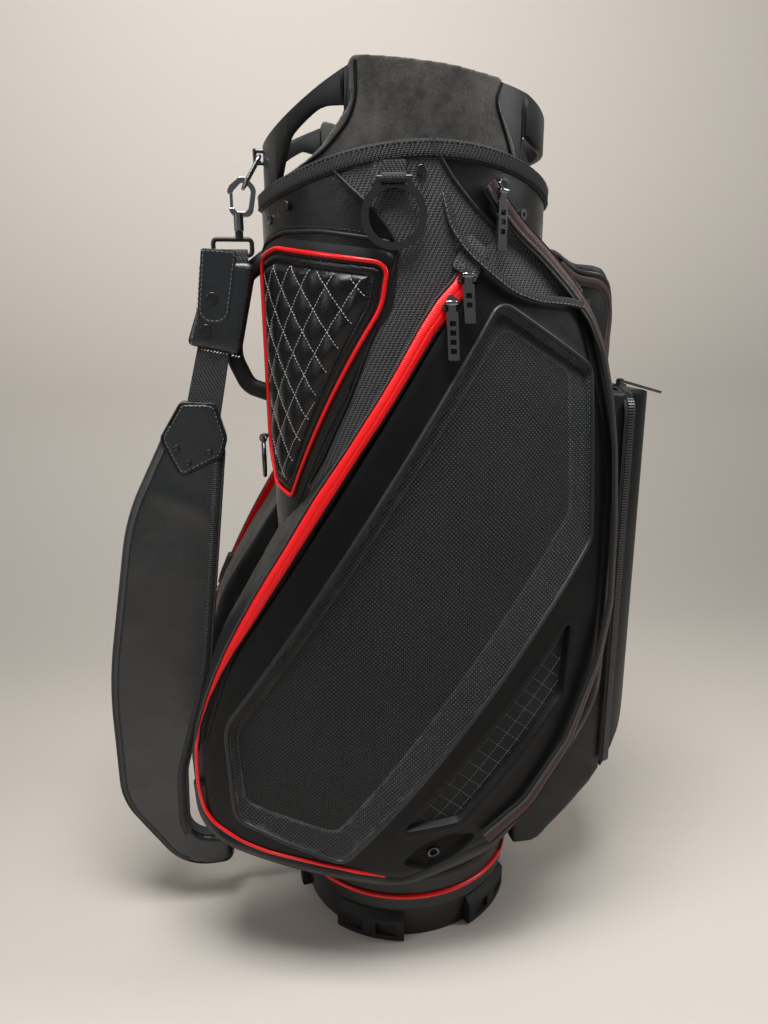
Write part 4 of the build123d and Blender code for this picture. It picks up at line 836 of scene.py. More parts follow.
# ---------------------------------------------------------------- rows of stitches, teeth and the like
def run_tree():
    """Geometry nodes: small bodies laid along guide lines, turned by the guide's "out" direction."""
    if "Laid along guides" in bpy.data.node_groups:
        return bpy.data.node_groups["Laid along guides"]
    tree = bpy.data.node_groups.new("Laid along guides", "GeometryNodeTree")
    face = tree.interface
    face.new_socket(name="Geometry", in_out="INPUT", socket_type="NodeSocketGeometry")
    for key, default in (("Spacing", 0.0046), ("Length", 0.0034), ("Width", 0.0009), ("Height", 0.0009),
                         ("Tilt", 0.0), ("Unevenness", 0.06), ("Squareness", 0.0)):
        face.new_socket(name=key, in_out="INPUT", socket_type="NodeSocketFloat").default_value = default
    face.new_socket(name="Seed", in_out="INPUT", socket_type="NodeSocketInt").default_value = 1
    face.new_socket(name="Material", in_out="INPUT", socket_type="NodeSocketMaterial")
    face.new_socket(name="Geometry", in_out="OUTPUT", socket_type="NodeSocketGeometry")
    n = Nodes(tree)
    start, end = tree.nodes.new("NodeGroupInput"), tree.nodes.new("NodeGroupOutput")
    i = start.outputs
    curve = n.add("GeometryNodeMeshToCurve", {0: i["Geometry"]}).outputs[0]
    even = n.add("GeometryNodeResampleCurve", {"Curve": curve, "Length": i["Spacing"]}, mode="LENGTH")
    tangent = n.add("GeometryNodeInputTangent").outputs[0]
    out = n.add("GeometryNodeInputNamedAttribute", {"Name": "out"}, data_type="FLOAT_VECTOR").outputs[0]
    turn = n.add("FunctionNodeAlignRotationToVector", {"Vector": tangent}, axis="X")
    turn = n.add("FunctionNodeAlignRotationToVector", {"Rotation": turn.outputs[0], "Vector": out}, axis="Z",
                 pivot_axis="X")
    lean = n.add("ShaderNodeCombineXYZ", {2: i["Tilt"]}).outputs[0]
    leant = n.add("FunctionNodeEulerToRotation", {0: lean}).outputs[0]
    turn = n.add("FunctionNodeRotateRotation", {"Rotation": turn.outputs[0], "Rotate By": leant},
                 rotation_space="LOCAL").outputs[0]
    ball = n.add("GeometryNodeMeshIcoSphere", {"Radius": 0.5, "Subdivisions": 2}).outputs[0]
    cube = n.add("GeometryNodeMeshCube", {"Size": (1.0, 1.0, 1.0)}).outputs[0]
    boxy = n.math("GREATER_THAN", i["Squareness"], 0.5)
    body = n.add("GeometryNodeSwitch", {"Switch": boxy, "False": ball, "True": cube},
                 input_type="GEOMETRY").outputs[0]
    shape = n.add("ShaderNodeCombineXYZ", {0: i["Length"], 1: i["Width"], 2: i["Height"]}).outputs[0]
    low, high = n.math("SUBTRACT", 1.0, i["Unevenness"]), n.math("ADD", 1.0, i["Unevenness"])
    vary = n.add("FunctionNodeRandomValue", {"Seed": i["Seed"]}, data_type="FLOAT")
    n.put(vary.inputs[2], low)
    n.put(vary.inputs[3], high)
    size = n.add("ShaderNodeVectorMath", {0: shape, "Scale": vary.outputs[1]}, operation="SCALE").outputs[0]
    laid = n.add("GeometryNodeInstanceOnPoints", {"Points": even.outputs[0], "Instance": body, "Rotation": turn,
                                                  "Scale": size}).outputs[0]
    real = n.add("GeometryNodeRealizeInstances", {0: laid}).outputs[0]
    done = n.add("GeometryNodeSetMaterial", {"Geometry": real, "Material": i["Material"]}).outputs[0]
    n.put(end.inputs[0], done)
    return tree


def laid_along(name, lines, finish, slot, spacing=None, length=None, width=None, height=None, tilt=0.0,
               uneven=0.06, square=False, seed=1, body="bag"):
    """Stitches, teeth or rivets along guide lines; lines are (points, directions out), in millimetres."""
    s = sizes()
    spacing = spacing or (s.stitch_length + s.stitch_gap) / MM
    length, width, height = length or s.stitch_length / MM, width or s.thread / MM, height or s.thread / MM
    points, outs, edges = [], [], []
    for pts, out in lines:
        first = len(points)
        points += [tuple(p * MM) for p in np.asarray(pts, float)]
        outs += [tuple(o) for o in out]
        edges += [(first + k, first + k + 1) for k in range(len(pts) - 1)]
    mesh = bpy.data.meshes.new(name)
    mesh.from_pydata(points, edges, [])
    mesh.attributes.new("out", "FLOAT_VECTOR", "POINT").data.foreach_set("vector", np.array(outs, np.float32).ravel())
    obj = new_object(name, mesh)
    modifier = obj.modifiers.new("laid", "NODES")
    modifier.node_group = run_tree()
    given = {"Spacing": spacing * MM, "Length": length * MM, "Width": width * MM, "Height": height * MM, "Tilt": tilt,
             "Unevenness": uneven, "Squareness": float(square), "Seed": seed, "Material": look(finish)}
    for socket in modifier.node_group.interface.items_tree:
        if getattr(socket, "in_out", "") == "INPUT" and socket.name in given:
            modifier[socket.identifier] = given[socket.name]
    baked(obj)
    obj.data.materials.clear()
    obj.data.shade_smooth()
    if square:
        obj.data.set_sharp_from_angle(angle=math.radians(40))
    settle(obj, slot, finish, body=body)


def stretch(loop, start, end, step=4.0):
    """The part of a closed outline from one place to another, going its own way round."""
    a = int(np.argmin(((loop - start) ** 2).sum(1)))
    b = int(np.argmin(((loop - end) ** 2).sum(1)))
    part = loop[a:b + 1] if b >= a else np.vstack([loop[a:], loop[:b + 1]])
    return resample(part, step, closed=False)


def nearest_on(loop, pts):
    """The nearest places on an outline to each point."""
    a, d = loop, np.roll(loop, -1, 0) - loop
    q = pts[:, None, :] - a[None]
    t = np.clip((q * d).sum(-1) / np.maximum((d**2).sum(1), 1e-12), 0, 1)
    gap = ((q - t[..., None] * d) ** 2).sum(-1)
    k = gap.argmin(1)
    return a[k] + t[np.arange(len(pts)), k][:, None] * d[k]


def dress(finish, *nodes):
    """Give CAD nodes that stay their material."""
    for node in nodes:
        slots = NODES[node].data.materials
        slots.clear()
        slots.append(look(finish))


def bevelled(width, *nodes):
    """Soften the edges of CAD nodes that stay."""
    for node in nodes:
        weld = NODES[node].modifiers.new("weld", "WELD")
        weld.merge_threshold = 0.00001
        bevel = NODES[node].modifiers.new("bevel", "BEVEL")
        bevel.width = width * MM
        bevel.segments = 2
        bevel.limit_method = "ANGLE"
        bevel.angle_limit = math.radians(40)


# ---------------------------------------------------------------- places on the bag
KNIT_WALL = ((-92, 810), (-60, 822), (0, 833), (4, 826), (11.5, 813), (19, 803), (33.6, 789), (49, 776), (66, 766),
             (40, 750), (8, 704), (-30, 648), (-75, 580), (-120, 520), (-133, 530), (-107, 564), (-79, 618),
             (-53, 682), (-41, 718), (-31, 749), (-34.4, 758.5), (-46, 775), (-60, 790), (-75, 802))
LEFT_SEAM = ((-89, 816), (-74, 802), (-60, 790), (-46, 775), (-34.4, 758.5), (-31, 749), (-41.5, 718), (-53, 682),
             (-79, 618), (-107, 564), (-128, 534))
RIGHT_SEAM = ((2, 828), (11.5, 813), (19.3, 803.4), (33.6, 789), (49, 777), (60, 769))
YOKE_SEAM = ((-222, 748), (-207, 761), (-182, 766), (-154, 770), (-107, 768), (-66, 762), (-40, 757))
BINDING = ((8, -143, 800), (11, -146, 786), (15, -147, 770), (30, -148, 750), (51, -148, 733), (75, -146, 716),
           (102, -139, 708), (132, -131, 706), (150, -124, 703))
GARMENT_ZIP = ((50, -143, 806), (58, -141, 795), (82, -133, 771), (109, -128, 749), (137, -124, 722),
               (162, -118, 694), (178, -117, 661), (189, -120, 612), (195, -124, 562), (196, -133, 490),
               (194, -141, 405), (178, -154, 345), (142, -170, 264), (97, -181, 205), (52, -186, 172))
RED_IN = ((41, 731), (34.6, 721.9), (16.1, 699.5), (-1.9, 678.2), (-10.4, 665.4), (-24.4, 644), (-38.3, 622.6),
          (-53, 600.9), (-68.5, 579.1), (-83.2, 557), (-97.9, 534.5), (-112.7, 511.5), (-127.7, 488), (-142.8, 463.8),
          (-158.3, 438.9), (-174, 413), (-191.2, 385.9), (-206.9, 357.7), (-220.2, 328.6), (-230.5, 298.9),
          (-235.2, 269.5))
RED_OUT = ((24, 737), (17.7, 725.2), (0.6, 708.1), (-14.4, 686.8), (-27.5, 665.5), (-40.4, 644.2), (-54.2, 622.7),
           (-68.8, 601), (-83.4, 579.1), (-99, 556.9), (-114.6, 534.2), (-128.7, 511), (-142.9, 487.3),
           (-158.2, 462.8), (-172.9, 437.6), (-187.1, 411.5), (-200.7, 384.5), (-212.8, 356.6), (-223.4, 328),
           (-232.6, 298.5), (-237.6, 269))
RED_FOOT = ((-230.5, 305), (-236.0, 280), (-237.4, 255), (-237.7, 227), (-233.3, 199), (-223.8, 184), (-197, 168.6),
            (-172.8, 161), (-136.9, 155), (-96.9, 146.4), (-71.6, 138.2), (-52, 131))
PATCH_RIVETS = ((-243, 562), (-210, 557), (-232, 546))
RIVET_R = 3.9
RECESS_DEEP, CUT_DEEP, EYE_DEEP, PANEL_BACK = 6.3, 6.0, 5.0, -8.9
ALONG, BEYOND = np.array([0.656, 0.755]), np.array([0.755, -0.656])  # the panel's slanting lines, and across them
PAD_EDGE, PAD_PUFF = 9.0, 11.0
FLAP = ((-206, 759, 2), (-171, 757, 3), (-183.5, 687, 13), (-214.5, 687, 13))
EYE = ((-38, 148, 5), (-16, 171, 12), (12, 182, 16), (46, 176, 5), (24, 152, 30), (-8, 136, 8))
TAB = ((32.2, 765, 1.5), (51, 750, 1.5), (35.5, 722, 1.5), (14.5, 737, 1.5))
TOP_FLAP = ((38, 748, 4), (61, 797, 5), (160, 714, 6), (147, 706, 3), (93, 707, 40), (46, 743, 4))
COVER_SPINE = ((-66, 901), (-65.5, 873), (-72, 855), (-91, 834), (-124, 815))
COVER_FRONT = ((61, 888), (54.5, 874), (69, 844), (80, 817), (92, 801))
TOWEL_BACKING = ((-55, 803, 2), (-27, 803, 2), (-27, 829, 2), (-55, 829, 2))
SLEEVE_SEAM = ((-208.5, 740), (-212, 712), (-216, 690), (-221, 668))
SLEEVE_FRAY = ((-226.5, 664.6), (-174.5, 653.2))
PULL_GARAGE = ((-212, 142, 352), (-208, 140, 366), (-202, 137, 380), (-197, 134, 392))
PIPING_R = 128.6
PURSE_ZIP = ((150, 743), (168, 727), (198, 724), (212, 713), (221, 690), (213, 645), (211, 628))
PURSE_LIP = ((150, 751), (168, 736), (202, 733), (219, 720), (230, 690), (222, 645), (220, 628))
FINE_SEAM = dict(width=0.7, height=0.6)
EVEN_TEETH = dict(uneven=0.02, square=True)


def wall(u, v, h=0.0):
    """The tube's outer wall: u runs round it from the near side, v up it."""
    a = u / WALL_R
    r = tube_radius(v) + h
    return np.stack([np.sin(a) * r, -np.cos(a) * r, v + 0 * r], -1)


def pillow(loop, width, rise):
    """How far a padded shape stands up, by distance in from its outline."""
    def height(pts):
        t = np.clip(depth_in(loop, pts) / width, 0, 1)
        return rise * np.sqrt(np.maximum(1 - (1 - t) ** 2, 0))
    return height


def build_shell():
    """The leather tube with its lining, knit panels and piped seams."""
    crease = sizes().rumple / MM * 0.6
    u = np.arange(0, 360, 2.0) * math.pi / 180 * WALL_R
    top = collar_line(u) - 10
    rows = []
    for k in range(101):
        z = TUBE_FOOT + (top - TUBE_FOOT) * k / 100
        row = wall(u, z)
        bend = wander(row, 70.0, 3) * 0.7 + wander(row, 24.0, 4) * 0.15
        rows.append(wall(u, z, -0.3 - np.abs(bend) * crease * math.sin(math.pi * k / 100) ** 0.3))
    outer = len(rows)
    rows += [wall(u, top - (top - TUBE_FOOT) * k / 100, -2.8) for k in range(0, 101, 5)]
    obj = grid_mesh("leather_tube", rows, close_u=True, close_v=True)
    ids = np.repeat([0] * outer + [1] * (len(rows) - outer), len(u))
    obj.data.polygons.foreach_set("material_index", ids.astype(np.int32))
    settle(obj, "leather", ("leather", "lining"), "body_shell")
    piece = patch("knit_panel_near", resample(KNIT_WALL, 4.0), wall,
                  lambda p: 1.2 + 0.25 * wander(np.c_[p, 0 * p[:, :1]], 30.0, 5), -0.2)
    settle(piece, "mesh", "knit", "mesh_panels")
    for name, line, radius, lift in (("left", LEFT_SEAM, 1.8, 1.2), ("right", RIGHT_SEAM, 1.9, 1.4),
                                     ("yoke", YOKE_SEAM, 1.7, 0.7)):
        cord(f"seam_{name}_near", raised(wall, flowing(line, 3.0, 6), lift), radius, "soft_leather", sides=10)
    for name, line, side in (("left", LEFT_SEAM, -4.0), ("yoke", YOKE_SEAM, 4.0)):
        flat = flowing(line, 3.0, 6)
        ahead = tangents(flat)
        flat = flat + np.stack([-ahead[:, 1], ahead[:, 0]], -1) * side
        laid_along(f"stitch_{name}_near", [on_surface(wall, flat, 0.1)], "black_thread", "leather", seed=4)


def cell_walls(name, node, lines, low, high):
    """Thin rippled cloth between the clubs, hung from the divider."""
    for number, (a, b) in enumerate(np.array(lines, float)):
        across = unit(np.array([a[1] - b[1], b[0] - a[0]]))
        rows = []
        heights = np.linspace(low, high, 40)
        for side, ways in ((-0.8, np.linspace(0, 1, 22)), (0.8, np.linspace(1, 0, 22))):
            for t in ways:
                ripple = 0.8 * np.sin(heights / 47.0 + 3 * number) * math.sin(math.pi * t)
                rows.append([(*(a + (b - a) * t + across * (side + r)), z) for r, z in zip(ripple, heights)])
        piece = grid_mesh(f"{name}_{number}", rows, close_v=True)
        reworked(piece.data,
                 lambda bm: bmesh.ops.holes_fill(bm, edges=[e for e in bm.edges if e.is_boundary], sides=0),
                 lambda bm: bmesh.ops.recalc_face_normals(bm, faces=bm.faces))
        settle(piece, "lining", "lining", node if number == 0 else ())


def build_collar():
    """The moulded cuff's finish, its soft covers, the twill band and the divider."""
    dress("cuff_plastic", "top_cuff")
    bevelled(1.3, "top_cuff")
    for side in ("near", "far"):
        cover = softened(f"velour_cover_{side}", f"cuff_cover_{side}", 1.35, relax=5, ruffle=0.35, size=22.0, seed=6)
        settle(cover, "velour", "velour", f"cuff_cover_{side}", fill=0.7, twin=False)
    u = np.arange(0, WALL_ROUND, 4.0)
    low, high = (np.stack([u, collar_line(u) - drop], -1) for drop in (BAND_HIGH, 0))
    band = ribbon("collar_band", low, high, wall, lambda t: 3.2 * (1 - abs(2 * t - 1) ** 5), rows=9, thick=0.4,
                  closed=True, lift=0.1)
    settle(band, "webbing", "band_twill", "collar_band")
    u = np.append(u, WALL_ROUND)
    for k, drop in enumerate((2.6, 13.6)):
        line = np.stack([u, collar_line(u) - drop], -1)
        laid_along(f"band_stitches_{k}", [on_surface(wall, line, 3.3)], "black_thread", "webbing", seed=7 + k)
    near = bpy.data.objects["velour_cover_near"]
    for name, line in (("cover_edge_spine_near", COVER_SPINE), ("cover_edge_front_near", COVER_FRONT)):
        for points, _ in seated(near, [beside_bag(flowing(line, 2.5, 6), -150.0)], 0.2, 60.0):
            gap = np.linalg.norm(np.diff(points, axis=0), axis=1).max()
            if len(points) <= 8 or gap >= 12:
                raise ValueError(f"{name} left its cover: {len(points)} points, gap {gap:.0f}")
            cord(name, eased(points, 4), 1.5, "lining", sides=10)
    loop = rounded(TOWEL_BACKING, 2.5)
    backing = patch("towel_backing", loop, wall, lambda p: 2.0 + 0.6 * smooth(depth_in(loop, p) / 2), -0.5, step=3.0)
    settle(backing, "webbing", "knit")
    grid = softened("velour_divider", "divider_grid", 2.2, relax=5, ruffle=0.3, size=18.0, seed=8)
    settle(grid, "velour", "velour", "divider_grid", fill=0.6)
    lo, hi = np.array(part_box("divider_centre")) / MM
    cell_walls("cell_wall_centre", "divider_centre", [((lo[0], 0), (hi[0], 0))], lo[2], hi[2])
    lo, hi = np.array(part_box("divider_sides")) / MM
    lines = [((x, way * 1.2), (x, end)) for way, end in ((1, hi[1]), (-1, lo[1])) for x in (-CELL_HALF, CELL_HALF)]
    cell_walls("cell_wall_side", "divider_sides", lines, lo[2], hi[2])
    dress("black_plastic", "frame_stays", "base_pad")


def build_quilts():
    """Quilted panels in their red piping."""
    surface = tube_side(QUILT_AZ)
    outline = rounded(QUILT, 2.5)
    pad = grown(outline, -7.0, 2.5)
    groove = grown(pad, -9.0, 2.5)
    wide, tall, puff = (getattr(sizes(), key) / MM for key in ("diamond_width", "diamond_height", "quilt_puff"))

    def lattice(p):
        a, b = p[:, 0] / wide + p[:, 1] / tall, p[:, 0] / wide - p[:, 1] / tall
        return (np.abs(np.sin(math.pi * a)) * np.abs(np.sin(math.pi * b))) ** 0.6

    def height(p):
        d = depth_in(pad, p)
        g = depth_in(groove, p)
        edge = 3.2 * np.sqrt(np.clip(1 - (1 - np.clip(d / 5, 0, 1)) ** 2, 0, 1))
        dip = 2.0 * np.exp(-(g / 1.6) ** 2)
        inner = smooth(g / 7) * (puff * lattice(p) + 0.9)
        return 1.0 + edge - dip + inner
    piece = patch("quilt_near", pad, surface, height, 0.1, step=1.7, lines=[groove], sharp=60)
    settle(piece, "leather", "quilt_leather", ("quilted_panel_near", "quilted_panel_far"), fill=0.7)
    rim = grown(outline, 7.0, 2.5)
    border = patch("quilt_border_near", rim, surface, lambda p: 0.3 + 1.6 * smooth(depth_in(rim, p) / 6), -0.6,
                   step=4.0, sharp=60)
    settle(border, "leather", "soft_leather")
    on = raised(surface, grown(outline, -3.2, 2.5), 3.4)
    cord("quilt_piping_near", on, 2.1, "red_piping", replaced="quilt_pipings", closed=True, sides=12)
    lines = []
    low, high = pad.min(0), pad.max(0)
    for sign in (1, -1):
        for k in range(-40, 60):
            z = np.arange(low[1], high[1], 2.0)
            x = (k - sign * z / tall) * wide
            keep = depth_in(groove, np.stack([x, z], -1)) > 1.5
            runs = np.split(np.arange(len(z)), np.where(np.diff(keep.astype(int)) != 0)[0] + 1)
            for run in runs:
                if len(run) > 4 and keep[run[0]]:
                    lines.append(on_surface(surface, np.stack([x[run], z[run]], -1), height, 0.15))
    laid_along("quilt_stitches_near", seated(piece, lines, 0.35), "pale_thread", "leather", spacing=3.3, length=2.4,
               width=0.8, height=0.8, seed=11)
    rings = seated(piece, [on_surface(surface, shut(groove), height)], 0.35)
    laid_along("quilt_groove_near", rings, "black_thread", "leather", seed=12)


def build_pockets():
    """Apparel pockets: soft leather bodies under moulded panels."""
    for side in ("near", "far"):
        body = softened(f"pocket_body_{side}", f"side_pocket_{side}", 4.0, relax=5, ruffle=sizes().rumple / MM * 0.9,
                        size=46.0, seed=14)
        settle(body, "leather", "soft_leather", f"side_pocket_{side}", fill=0.4, twin=False)
    outline, step_out, step_in, cut = (rounded(corners, 3.0) for corners in (PANEL, RECESS, FLOOR, GRID))
    cut_in = grown(cut, -4.0, 3.0)
    eye = rounded(EYE, 2.5)

    def height(p):
        edge = -1.6 * (1 - smooth(depth_in(outline, p) / 5.0))
        out, inner = depth_in(step_out, p), depth_in(step_in, p)
        slope = np.where(inner > 0, 1.0, np.clip(out / np.maximum(out - inner, 1e-6), 0, 1)) * (out > 0)
        upper = smooth(0.5 - (p - (-20, 430)) @ BEYOND / 40)
        slope = slope * (1 - upper) + smooth(out / 7.0) * upper
        lip = 0.9 * np.exp(-((out + 1.0) / 2.2) ** 2)
        rim = 1.1 * np.exp(-((depth_in(cut, p) + 4.0) / 3.0) ** 2)
        small = -CUT_DEEP * smooth(depth_in(cut, p) / 4.0) - EYE_DEEP * smooth(depth_in(eye, p) / 5.0)
        return edge + lip - RECESS_DEEP * slope + rim + small
    brink = grown(step_out, -7.0, 3.0)
    piece = patch("side_panel_near", outline, pocket_face, height, PANEL_BACK, step=4.0,
                  lines=[step_out, step_in, cut, cut_in, eye, brink], bands=[step_out, step_in, cut_in, eye],
                  sharp=28)
    flat = np.array([d.uv for d in piece.data.uv_layers[0].data]) / MM
    index = np.empty(len(piece.data.loops), np.int32)
    piece.data.loops.foreach_get("vertex_index", index)
    # Wear and painted highlight: the recess crests are lighter, more so towards the bottom, partly as edge wear and
    # partly as painted highlight; the patch on the panel's top right is a painted highlight
    wear_and_highlight_mask = np.zeros(len(piece.data.vertices))
    crest_wear_and_highlight = sum(np.exp(-(outline_distance(line, flat) / wide) ** 2)
                for line, wide in ((step_out, 1.8), (step_in, 1.2)))
    foot = smooth((330 - flat[:, 1]) / 160)
    painted_highlight_patch = np.exp(-(((flat[:, 0] - 125) / 45) ** 2 + ((flat[:, 1] - 690) / 38) ** 2)) * 0.22
    wear_and_highlight_mask[index] = np.clip(crest_wear_and_highlight * (0.25 + 0.75 * foot) + painted_highlight_patch, 0, 1)
    piece.data.attributes.new("wear", "FLOAT", "POINT").data.foreach_set("value", wear_and_highlight_mask.astype(np.float32))
    settle(piece, "shell", ("moulded_panel", "bevel", "recess_floor", "grid_cloth", "lining"),
           ("side_panel_near", "side_panel_far"))
    lines = []
    rows = [(BEYOND * k, ALONG) for k in np.arange(6, 70, 15.0)]
    rows += [(ALONG * k, BEYOND) for k in np.arange(10, 275, 15.0)]
    for start, way in rows:
        line = np.array(GRID[0][:2]) + start + way * np.arange(-20, 280, 2.0)[:, None]
        line = line[depth_in(cut_in, line) > 1.5]
        if len(line) > 4:
            lines.append(on_surface(pocket_face, line, -4.0))
    laid_along("grid_stitches_near", seated(piece, lines, 0.25), "grey_thread", "shell", spacing=3.4, length=2.5,
               width=0.6, height=0.6, seed=15)
    points, ways = seated(piece, [on_surface(pocket_face, shut(grown(step_out, 1.0, 2.0)))], 0.1)[0]
    cord("recess_rim_near", eased(points[:-1] + ways[:-1] * 0.2), 2.3, "bevel_bead", slot="shell", closed=True,
         sides=12)
    laid_along("recess_bead_near", [(points + ways * 2.1, ways)], "bevel_bead", "shell", spacing=2.1, length=1.9,
               width=1.7, height=1.1, uneven=0.05, seed=16)
    ring = raised(pocket_face, around((-2, 157), 5.2, 28), -4.2)
    cord("foot_eyelet_near", ring, 1.5, "stud_enamel", slot="shell", closed=True)


def build_zips():
    """Red zip tapes and piping, rims, bindings and the brown garment zips."""
    inner_loop, outer_loop = grown(rounded(PANEL, 3.0), 0.6, 3.0), grown(rounded(POCKET, 3.0), -0.4, 3.0)
    even = np.linspace(0, 1, 240)
    first, second = (flowing(line, 1.0, 8) for line in (RED_IN, RED_OUT))
    first, second = (np.stack([np.interp(even, np.linspace(0, 1, len(line)), line[:, k]) for k in (0, 1)], -1)
                     for line in (first, second))
    across, width = unit(second - first), np.linalg.norm(second - first, axis=1)

    def swell(t):
        bow = max(1 - (2 * t - 1) ** 2, 0) ** 0.6
        return (3.0 * bow - 0.5 * math.exp(-((t - 0.45) / 0.05) ** 2)) * np.minimum(width / 9, 1)
    tape = ribbon("red_zip_near", first, second, pocket_face, swell, rows=19, thick=4.0, lift=-0.6)
    settle(tape, "zip", "red_zip_tape", "side_zip_tapes")
    cord("zip_edge_near", raised(pocket_face, second + across, 0.2), 1.3, "binding", sides=10)
    cord("zip_shadow_near", raised(pocket_face, first - across * 0.8, -0.6), 1.1, "lining")
    foot = flowing(RED_FOOT, 3.0, 6)
    steps = np.arange(len(foot))
    sunk = 2.6 * (1 - smooth(steps / 16)) + 3.4 * (1 - smooth(steps[::-1] / 12))
    cord("red_piping_near", pocket_face(foot[:, 0], foot[:, 1], 0.6 - sunk), 1.9, "red_piping", sides=12)
    loop = rounded(TAB, 2.0)
    tab = patch("zip_tab_near", loop, pocket_face, lambda p: 3.6 + 0.9 * smooth(depth_in(loop, p) / 2.0), -1.0,
                step=2.5)
    settle(tab, "webbing", "knit")
    seam = on_surface(pocket_face, ((36.5, 728.5), (30, 732.5), (20, 740.5)), 4.6)
    laid_along("zip_tab_stitches_near", [seam], "grey_thread", "webbing", seed=31)
    rim_in = stretch(inner_loop, (-237, 226), (147, 705), 4.0)
    rim = ribbon("pocket_rim_near", rim_in, eased(nearest_on(outer_loop, rim_in), 8), pocket_face,
                 lambda t: 1.6 * math.sin(math.pi * min(1, t * 1.1)), rows=9, thick=6.5, lift=-2.0)
    settle(rim, "rim", "soft_leather", "side_rims")
    settle(patch("zip_flap_near", rounded(TOP_FLAP, 3.0), pocket_face, -1.4, -8.0, step=4.0), "mesh", "knit")
    line = flowing(BINDING, 3.0, 8)
    out = np.array([(0.12, -0.96, 0.25)] * len(line))
    settle(strip("binding_near", line, out, 8.0, 3.4), "piping", "band_twill")
    laid_along("binding_stitches_near", [(line - np.cross(out, tangents(line)) * 2.4 + out * 1.5, out)],
               "grey_thread", "piping", seed=32)
    line = flowing(GARMENT_ZIP, 3.0, 8)
    out = unit(np.stack([line[:, 0] - 40, line[:, 1], 0 * line[:, 2] + 25], -1))
    beside = np.cross(out, tangents(line))
    settle(strip("garment_zip_near", line + beside, out, 9.0, 2.2), "zip", "brown_zip")
    cord("garment_lip_near", line - beside * 4.8 + out * 0.6, 1.5, "satin_lip", sides=12)
    settle(strip("garment_hem_near", line - beside * 7.6 - out * 0.8, out, 4.6, 2.4), "piping", "soft_leather")
    cord("garment_seam_near", line + beside * 6.4 - out * 0.5, 1.2, "lining")
    laid_along("garment_zip_teeth_near", [(line + beside + out * 1.1, out)], "brown_zip", "zip", spacing=1.9,
               length=1.1, width=2.2, height=0.7, **EVEN_TEETH, seed=33)


def build_front():
    """Ball pocket with its coarse zip, and the valuables pocket."""
    crease = sizes().rumple / MM * 0.7
    for name, node, voxel, relax, ruffle, size, seed, slot, finish, fill in (
            ("ball_pocket", "front_pocket", 3.5, 6, crease, 40.0, 17, "leather", "soft_leather", 0.5),
            ("ball_panel", "front_panel", 2.8, 4, 0, 40.0, 1, "shell", "moulded_panel", 0.8),
            ("ball_zip_tape", "front_zip_tape", 2.2, 3, 0, 40.0, 1, "zip", "black_zip_tape", None)):
        settle(softened(name, node, voxel, relax, ruffle, size, seed), slot, finish, node, fill=fill)
    lo, hi = np.array(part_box("front_zip_tape")) / MM
    x, y, low, high = lo[0] + 2.5, hi[1] + 3.4, lo[2] + 14, hi[2] + 2.2
    bend = 28
    line = [(x, -y, z) for z in np.arange(low, high - bend, 4.0)]
    outs = [(0.40, -0.92, 0)] * len(line)
    for a in np.linspace(0, math.pi / 2, 10):
        line.append((x, -y + bend * (1 - math.cos(a)), high - bend + bend * math.sin(a)))
        outs.append((0.40 * math.cos(a), -math.cos(a), math.sin(a)))
    line += [(x, -beyond, high) for beyond in np.arange(y - 32, 0, -4.0)]
    outs += [(0, 0, 1)] * (len(line) - len(outs))
    line, outs = (np.array(half + [(p[0], -p[1], p[2]) for p in reversed(half)], float) for half in (line, outs))
    settle(strip("ball_zip_band", line - outs * 0.6, outs, 16.0, 2.4), "zip", "black_zip_tape")
    beside = np.cross(outs, tangents(line))
    for k, shift in enumerate((-2.1, 2.1)):
        laid_along(f"ball_zip_teeth_{k}", [(line + beside * shift + outs * 0.9, outs)], "zip_teeth", "zip",
                   spacing=3.0, length=1.6, width=5.0, height=2.4, **EVEN_TEETH, seed=18 + k)
        laid_along(f"ball_zip_stitches_{k}", [(line + beside * shift * 3.1 + outs * 0.6, outs)], "black_thread",
                   "zip", **FINE_SEAM, seed=28 + k)
    purse = softened("purse_pocket", "valuables_pocket", 2.8, 8, 0.8, 34.0, 19)
    settle(purse, "leather", "soft_leather", "valuables_pocket", fill=0.6)
    for name, profile, wide, finish in (("purse_zip_near", PURSE_ZIP, 10.0, "brown_zip"),
                                        ("purse_lip_near", PURSE_LIP, 3.4, "satin_lip")):
        for points, ways in seated(purse, [beside_bag(flowing(profile, 3.0, 8), -70.0)], 0.4, 30.0):
            settle(strip(name, eased(points, 4), ways, wide, 2.2), "zip", finish)
            if profile is PURSE_ZIP:
                laid_along("purse_zip_teeth_near", [(eased(points, 4) + ways * 1.2, ways)], "zip_teeth", "zip",
                           spacing=2.0, length=1.2, width=1.8, height=0.8, **EVEN_TEETH, seed=34)
    u = np.arange(-44, 44.1, 3.0) + WALL_ROUND / 4
    for k, z in enumerate((766.0, 783.0)):
        laid_along(f"front_stitches_{k}", [on_surface(wall, np.stack([u, np.full(len(u), z)], -1), 0.2)],
                   "pale_thread", "leather", seed=36 + k)


